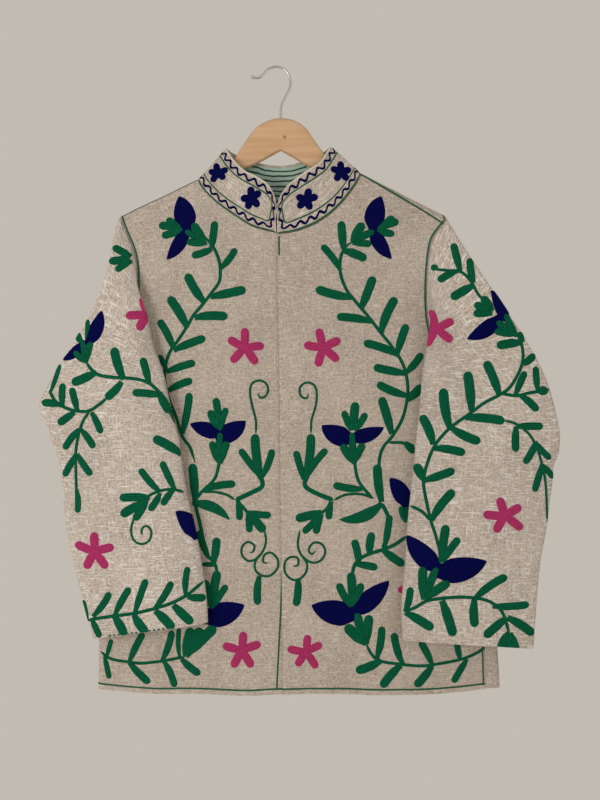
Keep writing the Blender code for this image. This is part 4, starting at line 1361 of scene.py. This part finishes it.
# %% Where each piece's stems, leaves and flowers lie
RIGHT_FRONT_STEMS = [
    (5.0, [(-98, -238), (-85, -255), (-78, -272), (-76, -287), (-78, -302), (-88, -316),
          (-101, -333), (-113, -347), (-123, -364), (-134, -381), (-146, -398), (-153, -420),
          (-153, -442), (-147, -465), (-137, -490), (-129, -515), (-118, -531), (-111, -552)]),
    (5.0, [(-77, -550), (-84, -574), (-102, -592), (-109, -602)]),
    (4.0, [(-102, -592), (-84, -592), (-67, -596), (-56, -603)]),
    (3.6, [(-27, -512), (-27, -493), (-32, -473), (-35, -454), (-32, -442), (-22, -438),
          (-13, -442), (-10, -452), (-15, -461), (-22, -461), (-24, -455)]),
    (7.0, [(-20, -571), (-18, -584), (-31, -592), (-55, -603)]),
    (4.5, [(-53, -605), (-45, -612), (-38, -622)]),
    (3.6, [(-15, -644), (-13, -661), (-18, -675), (-27, -685), (-38, -687), (-46, -679),
          (-46, -668), (-38, -661), (-29, -666), (-31, -675), (-36, -675)]),
    (3.6, [(-20, -676), (-28, -689), (-27, -701), (-17, -708), (-6, -707), (3, -697), (3, -685),
          (-6, -676), (-15, -679), (-17, -689), (-10, -690)]),
    (5.5, [(-112, -605), (-102, -647), (-98, -675), (-85, -689), (-80, -704)]),
    (4.5, [(-125, -820), (-155, -826), (-183, -830), (-204, -829), (-230, -825), (-244, -815)]),
]
RIGHT_FRONT_LEAVES = table("x z tip_x tip_z wide", [
    (-88, -255, -84, -217, 11), (-88, -256, -116, -265, 11), (-76, -283, -55, -255, 10),
    (-98, -330, -123, -290, 13), (-90, -322, -41, -312, 13), (-122, -365, -148, -322, 13),
    (-112, -351, -66, -350, 13), (-141, -395, -162, -354, 11), (-141, -396, -97, -379, 12),
    (-151, -426, -111, -413, 11), (-151, -424, -162, -403, 8), (-148, -452, -115, -438, 11),
    (-129, -512, -119, -455, 11), (-111, -605, -115, -553, 13), (-97, -588, -55, -581, 11),
    (-115, -608, -63, -631, -15), (-20, -574, -28, -512, 13), (-21, -571, -49, -533, 10),
    (-18, -571, -4, -533, 10), (-52, -603, -50, -631, 10), (-39, -620, -6, -624, 10),
    (-36, -622, -15, -647, 13), (-38, -620, -36, -648, 10), (-22, -708, -24, -748, 11),
    (-92, -683, -105, -645, 10), (-85, -689, -81, -655, 12), (-102, -692, -84, -692, 7),
    (-132, -822, -133, -781, 7), (-157, -826, -143, -784, 10), (-203, -829, -183, -788, 10),
    (-235, -823, -228, -798, 7), (-130, -823, -104, -844, 11), (-154, -827, -139, -862, 10),
    (-203, -830, -174, -857, 11), (-238, -822, -231, -853, 8), (-132, -225, -151, -213, 11),
    (-132, -227, -162, -223, 12), (-129, -228, -158, -237, 11), (-81, -507, -91, -479, 11),
    (-78, -507, -83, -462, 11), (-76, -507, -67, -476, 10), (-92, -750, -98, -714, 11),
    (-88, -753, -80, -701, 13), (-87, -753, -67, -721, 10),
])
RIGHT_FRONT_CALYX = table("x z tip_x tip_z wide", [
    (-97, -246, -115, -220, 13), (-97, -245, -125, -230, 10), (-95, -248, -123, -245, 10),
    (-77, -553, -88, -522, 11), (-77, -553, -76, -510, 11), (-76, -553, -66, -522, 11),
    (-125, -819, -116, -780, 14), (-125, -819, -101, -781, 17), (-123, -819, -83, -778, 15),
])
RIGHT_FRONT_PETALS = table("x z tip_x tip_z wide bow", [
    (-123, -231, -134, -182, 31, -2), (-123, -225, -151, -270, 20, 3),
    (-73, -512, -118, -498, 22, 1), (-83, -518, -41, -494, 27, -3),
    (-102, -767, -43, -748, 34, -3),
])
RIGHT_FRONT_STARS = table("x z radius turn", [
    (-42, -393, 27, -6), (-46, -811, 27, 2),
])

LEFT_FRONT_STEMS = [
    (5.0, [(108, -245), (97, -253), (90, -269), (90, -290), (98, -312), (112, -330), (129, -350),
          (146, -372), (162, -392), (175, -412), (182, -434), (183, -459), (176, -490),
          (162, -515), (150, -529), (144, -546), (143, -577)]),
    (4.5, [(157, -524), (174, -524), (192, -528)]),
    (5.0, [(109, -549), (115, -577), (134, -601)]),
    (4.0, [(136, -601), (118, -595), (97, -596), (81, -603)]),
    (3.6, [(49, -512), (50, -493), (56, -472), (57, -454), (53, -444), (42, -441), (34, -448),
          (35, -459), (43, -463), (46, -456)]),
    (7.0, [(41, -574), (42, -585), (59, -595), (80, -603)]),
    (4.5, [(80, -605), (73, -613), (63, -622)]),
    (3.6, [(34, -644), (31, -664), (36, -679), (49, -689), (62, -687), (69, -675), (64, -664),
          (53, -662), (46, -671), (50, -678), (56, -673)]),
    (3.6, [(35, -679), (43, -689), (43, -701), (35, -711), (24, -713), (14, -704), (13, -690),
          (20, -682), (31, -683), (31, -693), (24, -694)]),
    (6.0, [(147, -608), (155, -624), (158, -638), (154, -655), (148, -671)]),
    (5.5, [(181, -654), (165, -665), (148, -672), (129, -678), (116, -685), (109, -694),
          (106, -708)]),
    (4.5, [(125, -801), (132, -815), (143, -825), (168, -830), (202, -833), (230, -830),
          (258, -825), (277, -818), (294, -808)]),
]
LEFT_FRONT_LEAVES = table("x z tip_x tip_z wide", [
    (94, -256, 91, -217, 12), (94, -258, 126, -270, 13), (90, -286, 64, -251, 10),
    (106, -323, 56, -311, 13), (118, -339, 136, -294, 13), (133, -356, 85, -350, 12),
    (146, -372, 167, -323, 13), (171, -403, 122, -386, 12), (169, -400, 182, -360, 12),
    (181, -428, 136, -419, 12), (181, -427, 203, -400, 11), (183, -459, 141, -442, 12),
    (183, -465, 204, -445, 13), (161, -512, 146, -461, 13), (120, -588, 80, -582, 11),
    (147, -608, 88, -630, -17), (147, -606, 141, -554, 13), (39, -574, 28, -535, 10),
    (41, -577, 49, -512, 13), (42, -574, 71, -533, 10), (77, -605, 74, -630, 10),
    (64, -620, 28, -629, 13), (63, -622, 38, -648, 10), (64, -622, 56, -650, 11),
    (31, -711, 28, -749, 11), (151, -668, 158, -624, 10), (148, -672, 178, -693, 12),
    (130, -678, 134, -648, 12), (115, -692, 108, -658, 11), (112, -692, 141, -697, 11),
    (179, -524, 193, -538, 11), (140, -822, 147, -778, 11), (176, -830, 164, -787, 11),
    (217, -832, 200, -799, 10), (256, -825, 251, -802, 9), (146, -825, 111, -839, 13),
    (174, -832, 147, -862, 13), (217, -833, 193, -861, 12), (266, -825, 246, -857, 10),
    (143, -227, 164, -210, 11), (141, -228, 171, -217, 12), (141, -230, 165, -234, 11),
    (105, -507, 94, -480, 10), (108, -507, 111, -468, 13), (109, -507, 125, -483, 10),
    (105, -750, 87, -718, 11), (106, -750, 104, -703, 13), (108, -750, 119, -718, 11),
])
LEFT_FRONT_CALYX = table("x z tip_x tip_z wide", [
    (106, -246, 122, -220, 13), (106, -246, 137, -231, 11), (106, -248, 133, -249, 10),
    (109, -552, 92, -526, 12), (109, -552, 106, -510, 11), (109, -552, 122, -525, 11),
    (125, -802, 97, -776, 15), (125, -802, 112, -759, 13), (126, -802, 130, -762, 13),
    (181, -634, 174, -612, 10), (181, -634, 185, -613, 10),
])
LEFT_FRONT_PETALS = table("x z tip_x tip_z wide bow", [
    (136, -231, 147, -182, 29, 3), (134, -225, 161, -269, 21, -3), (109, -519, 64, -500, 28, 4),
    (101, -518, 150, -503, 21, -3), (113, -762, 50, -748, 35, 3), (102, -760, 157, -715, 28, -3),
    (182, -613, 158, -573, 25, -3),
])
LEFT_FRONT_STARS = table("x z radius turn", [
    (66, -393, 27, 14), (43, -812, 25, 2), (190, -728, 22, 18),
])

RIGHT_SLEEVE_STEMS = [
    (5.0, [(-260, -412), (-252, -423), (-241, -431), (-221, -434), (-202, -435), (-182, -438),
          (-168, -445), (-155, -459), (-146, -476), (-134, -501)]),
    (5.0, [(-230, -462), (-242, -472), (-255, -480), (-272, -480), (-286, -476), (-300, -468),
          (-311, -452)]),
    (4.5, [(-253, -480), (-263, -494), (-270, -512), (-274, -535), (-274, -557), (-273, -594)]),
    (4.5, [(-125, -591), (-140, -587), (-157, -589), (-174, -596)]),
    (3.6, [(-193, -626), (-197, -643), (-193, -657), (-182, -662), (-172, -657), (-169, -645),
          (-175, -637), (-182, -641), (-182, -650)]),
    (5.0, [(-259, -771), (-252, -767), (-225, -762), (-193, -757), (-165, -750), (-141, -742),
          (-120, -731), (-98, -713)]),
]
RIGHT_SLEEVE_LEAVES = table("x z tip_x tip_z wide", [
    (-200, -266, -225, -253, 11), (-202, -269, -230, -273, 12), (-199, -273, -220, -287, 10),
    (-207, -437, -221, -393, 13), (-172, -442, -182, -407, 11), (-155, -459, -195, -455, 11),
    (-210, -440, -232, -463, 12), (-158, -455, -143, -482, 12), (-245, -427, -279, -442, 13),
    (-270, -479, -279, -448, 10), (-294, -472, -321, -469, 11), (-291, -473, -291, -442, 10),
    (-309, -454, -297, -416, 7), (-274, -482, -298, -498, 11), (-251, -482, -239, -511, 10),
    (-269, -505, -290, -533, 10), (-267, -505, -249, -531, 10), (-274, -540, -291, -570, 10),
    (-272, -539, -252, -568, 10), (-273, -588, -272, -620, 9), (-129, -539, -167, -517, 13),
    (-137, -588, -155, -549, 10), (-157, -591, -185, -559, 10), (-139, -588, -154, -609, 10),
    (-157, -592, -172, -616, 10), (-171, -598, -213, -599, 12), (-179, -605, -211, -623, 13),
    (-175, -599, -193, -629, 11), (-251, -763, -227, -729, 10), (-220, -760, -199, -722, 10),
    (-192, -756, -176, -710, 10), (-164, -749, -141, -713, 10), (-122, -732, -119, -693, 9),
    (-120, -734, -95, -735, 11), (-253, -767, -241, -792, 10), (-221, -762, -206, -788, 13),
    (-193, -759, -175, -784, 13), (-164, -753, -139, -778, 13), (-139, -745, -113, -770, 13),
    (-259, -770, -265, -741, 6), (-266, -386, -274, -372, 10), (-260, -381, -259, -354, 7),
])
RIGHT_SLEEVE_CALYX = table("x z tip_x tip_z wide", [
    (-259, -413, -276, -398, 10), (-259, -413, -265, -382, 8), (-259, -413, -253, -385, 10),
])
RIGHT_SLEEVE_PETALS = table("x z tip_x tip_z wide bow", [
    (-260, -389, -239, -342, 21, -4), (-263, -385, -293, -410, 15, 3),
    (-106, -655, -136, -617, 25, -4),
])
RIGHT_SLEEVE_STARS = table("x z radius turn", [
    (-176, -347, 27, 16), (-248, -673, 28, 2),
])

LEFT_SLEEVE_STEMS = [
    (4.5, [(220, -284), (238, -286), (255, -288), (266, -297), (273, -308), (280, -321),
          (293, -333)]),
    (5.0, [(325, -367), (336, -381), (340, -398), (339, -414), (332, -431), (321, -448),
          (307, -458), (286, -469), (266, -484), (246, -498), (231, -511), (218, -528),
          (210, -547), (203, -574), (206, -599), (213, -630), (220, -652), (225, -675)]),
    (5.0, [(309, -456), (330, -459), (350, -455), (378, -451)]),
    (4.0, [(311, -493), (328, -497), (347, -511), (358, -529), (367, -554), (372, -580),
          (375, -633)]),
    (5.0, [(185, -610), (200, -617), (213, -630)]),
    (5.0, [(178, -755), (193, -748), (210, -739), (244, -735), (272, -736), (295, -742),
          (312, -757), (322, -787)]),
]
LEFT_SLEEVE_LEAVES = table("x z tip_x tip_z wide", [
    (255, -287, 246, -248, 11), (221, -286, 220, -277, 10), (251, -287, 225, -301, 11),
    (273, -304, 269, -269, 11), (273, -307, 242, -325, 13), (339, -386, 304, -391, 13),
    (340, -386, 337, -371, 10), (340, -416, 357, -402, 11), (329, -458, 343, -426, 10),
    (360, -452, 358, -419, 10), (360, -452, 375, -451, 13), (336, -459, 360, -480, 11),
    (307, -459, 288, -412, 13), (269, -480, 263, -426, 14), (239, -503, 230, -449, 14),
    (216, -526, 200, -486, 13), (260, -489, 314, -494, 13), (330, -501, 367, -501, 11),
    (330, -501, 330, -536, 11), (357, -522, 342, -552, 11), (356, -522, 379, -546, 9),
    (367, -554, 356, -591, 10), (367, -554, 384, -573, 9), (241, -503, 281, -522, 13),
    (217, -531, 260, -538, 12), (204, -575, 246, -561, 12), (203, -574, 192, -553, 13),
    (214, -629, 245, -589, 13), (178, -755, 185, -721, 10), (178, -756, 216, -778, 13),
    (228, -739, 244, -788, 14), (273, -738, 274, -776, 13), (273, -738, 318, -707, 12),
    (298, -748, 349, -746, 11), (318, -764, 287, -790, 13), (319, -764, 356, -788, 13),
    (321, -785, 309, -811, 13), (322, -785, 321, -813, 14), (322, -785, 332, -811, 13),
    (298, -343, 284, -323, 13), (298, -344, 274, -332, 12), (298, -346, 272, -347, 12),
    (227, -687, 234, -636, 13), (228, -687, 252, -654, 11),
])
LEFT_SLEEVE_CALYX = table("x z tip_x tip_z wide", [
    (332, -377, 316, -347, 11), (332, -377, 304, -357, 11), (332, -375, 301, -370, 10),
    (203, -738, 202, -693, 13), (204, -738, 221, -694, 12), (206, -736, 238, -714, 13),
])
LEFT_SLEEVE_PETALS = table("x z tip_x tip_z wide bow", [
    (316, -357, 297, -314, 21, -4), (309, -350, 263, -381, 22, 4), (227, -697, 181, -650, 29, 4),
    (217, -700, 290, -686, 35, -4),
])
LEFT_SLEEVE_STARS = table("x z radius turn", [
    (221, -368, 27, 10), (315, -624, 28, 12),
])

# %% Embroider the fronts and the sleeves
SETS = {
    "right_front": (RIGHT_FRONT_STEMS, RIGHT_FRONT_LEAVES, RIGHT_FRONT_CALYX, RIGHT_FRONT_PETALS,
                    RIGHT_FRONT_STARS),
    "left_front": (LEFT_FRONT_STEMS, LEFT_FRONT_LEAVES, LEFT_FRONT_CALYX, LEFT_FRONT_PETALS,
                   LEFT_FRONT_STARS),
    "right_sleeve": (RIGHT_SLEEVE_STEMS, RIGHT_SLEEVE_LEAVES, RIGHT_SLEEVE_CALYX,
                     RIGHT_SLEEVE_PETALS, RIGHT_SLEEVE_STARS),
    "left_sleeve": (LEFT_SLEEVE_STEMS, LEFT_SLEEVE_LEAVES, LEFT_SLEEVE_CALYX, LEFT_SLEEVE_PETALS,
                    LEFT_SLEEVE_STARS),
}
surfaces = {
    "right_front": on_body(front_place[LEFT], front_cut[LEFT]),
    "left_front": on_body(front_place[RIGHT], front_cut[RIGHT]),
    "right_sleeve": laid_on(pieces["right_sleeve_cloth"]["thing"], 1.0),
    "left_sleeve": laid_on(pieces["left_sleeve_cloth"]["thing"], 1.0),
}
for name, tables in SETS.items():
    embroider(name, surfaces[name], *tables)
    print(name, "stitched")

# %% Running stitches that hold the right sleeve's cuff
cuff = sleeve_grid(LEFT, TOP_ROWS, RINGS)[-1]
cuff = cuff[cuff[:, 1] < cuff[:, 1].mean()]
cuff = cuff[np.argsort(cuff[:, 0])]
dashes = new_thread()
for x in np.arange(cuff[0, 0] + 8, cuff[0, 0] + 92, 6.2):
    ends = np.linspace(x, x + 3.6, 5)
    line = np.stack([ends, np.interp(ends, cuff[:, 0], cuff[:, 2]) + 1.7], axis=-1)
    stitch(dashes, surfaces["right_sleeve"], line, [2.6] * 5, 1.1, 4)
finish_threads("right_sleeve", (("hem", dashes, GREEN_LINE),))

# %% Seam cords of the fronts: shoulders, armholes, opening and hem
surfaces["back"] = on_body(back_place, back_cut)
cords = {name: new_thread() for name in ("right_front", "left_front", "back", "collar")}
# How far the cords lie inside the hem, and inside the shoulder seam at its two ends
HEM_CORD = np.array([0, 7.5])
SHOULDER_CORD = {LEFT: (1.8, 2.2), RIGHT: (1.8, 5.2)}
# Where the cord of the back's hem stops, and the rows of a front's side seam along its vent
BACK_HEM_REACH = 245
VENT = slice(-22, -1)


def seam_cord(name, line, wide=2.6):
    """A thin cord along a line, in steps short enough to follow every crease."""
    line = spline(line, int(run_along(line)[-1] / CORD_STEP))
    stitch(cords[name], surfaces[name], line, [wide] * len(line), 1.2, 4)


for side, name in ((LEFT, "right_front"), (RIGHT, "left_front")):
    pattern = front_cut[side]
    neck_end = len(NECK_COLUMNS) - 1
    shoulder = pattern[0, neck_end:]
    seam_cord(name, shift(shoulder, np.linspace(*SHOULDER_CORD[side], len(shoulder)), -side))
    arm = spline(armhole_curve(side, FRONT), 60)[:44]
    seam_cord(name, shift(arm, 2.2, -side))
    seam_cord(name, pattern[-1, ::4] + HEM_CORD)
drops = np.linspace(700.0, 865.5, 28)
inset = smooth(np.array([700.0, 760, 801, 870]), np.array([9.5, 7.2, 5, 1.6]), drops)
seam_cord("right_front", np.stack([inset, -drops], axis=-1))
drops = np.arange(238.0, 268, 3)
over = smooth(FRONT_EDGE["drop"], FRONT_EDGE["over"], drops)
seam_cord("left_front", np.stack([over + 2.0, -drops], axis=-1))
vent = front_cut[RIGHT][VENT, -1] - np.array([3.0, 0])
seam_cord("left_front", vent)
hem = back_cut[-1, ::4] + HEM_CORD
seam_cord("back", hem[np.abs(hem[:, 0]) < BACK_HEM_REACH])
for side in (LEFT, RIGHT):
    arm = spline(armhole_curve(side, BACK), 60)[:52]
    seam_cord("back", shift(arm, 2.4, -side))

# %% Collar: cords, waves and seven small flowers
# Its length is measured at the foot, and its height counts as 60 mm all round
collar_wide = float(run_along(collar[0])[-1])
COLLAR_HIGH = 60.0
WAVE = 15.5
surfaces["collar"] = on_grid(collar, collar_facing, collar_wide, COLLAR_HIGH)
run = np.linspace(2, collar_wide - 2, 260)
seam_cord("collar", np.stack([run, np.full(260, 1.4)], axis=-1), 2.6)


def even_steps(line):
    """Points every 1.3 mm along a line with corners."""
    run = run_along(line)
    return places(line, run, np.linspace(0, run[-1], int(run[-1] / 1.3)))


def collar_loop(front, low, high, corner=9.0):
    """A line round the collar, inside its foot, front and free edges."""
    w, c = collar_wide - front, corner
    line = [(front + c, low), (w - c, low), (w - c * 0.3, low + c * 0.3), (w, low + c),
            (w, high - c), (w - c * 0.3, high - c * 0.3), (w - c, high), (front + c, high),
            (front + c * 0.3, high - c * 0.3), (front, high - c), (front, low + c),
            (front + c * 0.3, low + c * 0.3), (front + c, low)]
    return even_steps(np.array(line))


seam_cord("collar", collar_loop(11.0, 14.0, 47.5, 6.0), 2.2)
# A band round the collar's fronts and top: a real turned edge, drawn near white as a painted
# highlight
edge = new_thread()
w = collar_wide
fold = even_steps(np.array([(1.2, 3), (1.2, 53), (2.4, 57), (6, 58.6), (w - 6, 58.6),
                            (w - 2.4, 57), (w - 1.2, 53), (w - 1.2, 3)]))
stitch(edge, surfaces["collar"], fold, [2.4] * len(fold), 1.3, 4)
collar_navy = new_thread()
loop = collar_loop(6.2, 7.6, 53.0)
real = run_along(surfaces["collar"](loop[:, 0], loop[:, 1])[0])
turns = round(real[-1] / WAVE)
loop = shift(loop, 2.5 * np.sin(real / real[-1] * 2 * math.pi * turns), 1)
stitch(collar_navy, surfaces["collar"], loop, [3.5] * len(loop), 1.1, 4)
collar_face = laid_on(pieces["collar_cloth"]["thing"], 1.0)
for x, z, radius, turn in ((-80, -150, 14, 6), (-33, -186, 15.5, 12), (43, -188, 15.5, -8),
                           (91, -148, 15, 2)):
    star(collar_navy, collar_face, x, z, radius, turn, 0.68, 0.85)
for share in (0.36, 0.5, 0.64):
    star(collar_navy, surfaces["collar"], collar_wide * share, 31, 14.5, 0, 0.68, 0.85)
finish_threads("collar", (("navy", collar_navy, NAVY), ("edge", edge, FOLDED_EDGE_HIGHLIGHT)))
for name, thread in cords.items():
    finish_threads(name, (("cord", thread, GREEN_LINE),))

# %% The back: the same vines, as seen from behind
# The back's motifs are mirrored about x = 5 mm
TWICE_CENTRE = 10


def mirrored(tables):
    """The other way round, for the side that faces away."""
    stems, leaves, calyx, petals, stars = tables
    turned = [[(w, [(TWICE_CENTRE - x, z) for x, z in pts]) for w, pts in stems]]
    for rows in (leaves, calyx, petals, stars):
        rows = dict(rows)
        for key in ("x", "tip_x"):
            if key in rows:
                rows[key] = TWICE_CENTRE - rows[key]
        for key in ("bow", "turn"):
            if key in rows:
                rows[key] = -rows[key]
        turned.append(rows)
    return turned


for word, tables in SETS.items():
    if "front" in word:
        pieces["back_" + word + "_cloth"] = pieces["back_cloth"]
        embroider("back_" + word, surfaces["back"], *mirrored(tables))
        del pieces["back_" + word + "_cloth"]

# %% [markdown]
# ## Floor, light and camera
#
# A plain pale floor lies below the hem. The light is soft and comes from the front, at the
# jacket's own height, most of it from the left. The camera looks straight at the jacket.

# %% Stage
floor_mesh = bpy.data.meshes.new("pale_floor")
floor_mesh.from_pydata([(-1.4, -1.6, -1.25), (1.4, -1.6, -1.25), (1.4, 0.62, -1.25),
                        (-1.4, 0.62, -1.25)], [], [(0, 1, 2, 3)])
floor = bpy.data.objects.new("pale_floor", floor_mesh)
bpy.context.scene.collection.objects.link(floor)
paint, _, paint_shader = new_material("pale_floor_paint", roughness=0.7)
paint_shader.inputs["Base Color"].default_value = colour("#CFC8C0")
floor_mesh.materials.append(paint)

world = bpy.data.worlds.new("soft_room")
world.use_nodes = True
world.node_tree.nodes["Background"].inputs["Color"].default_value = colour("#C2BBB2")
world.node_tree.nodes["Background"].inputs["Strength"].default_value = 1.0
bpy.context.scene.world = world


def soft_light(name, place, aim, size, power, tint):
    lamp = bpy.data.lights.new(name, "AREA")
    lamp.size = size
    lamp.energy = power
    lamp.color = colour(tint)[:3]
    thing = bpy.data.objects.new(name, lamp)
    thing.location = place
    thing.rotation_euler = (Vector(aim) - Vector(place)).to_track_quat("-Z", "Y").to_euler()
    bpy.context.scene.collection.objects.link(thing)


soft_light("window", (-1.5, -1.9, -0.5), (0.03, 0, -0.78), 1.0, 24, "#FFF8F0")
soft_light("room", (1.7, -2.0, -0.9), (0.03, 0, -0.7), 1.8, 10, "#FFF4EA")

bpy.context.scene.view_settings.view_transform = "Standard"
lens = bpy.data.cameras.new("camera")
lens.sensor_fit = "VERTICAL"
lens.sensor_height = 36.0
lens.sensor_width = 36.0
lens.lens = 36.0 * 1.8 / 1.12
camera = bpy.data.objects.new("camera", lens)
camera.location = (0.034, -1.8, -0.465)
camera.rotation_euler = (math.radians(90), 0, 0)
bpy.context.scene.collection.objects.link(camera)
bpy.context.scene.camera = camera
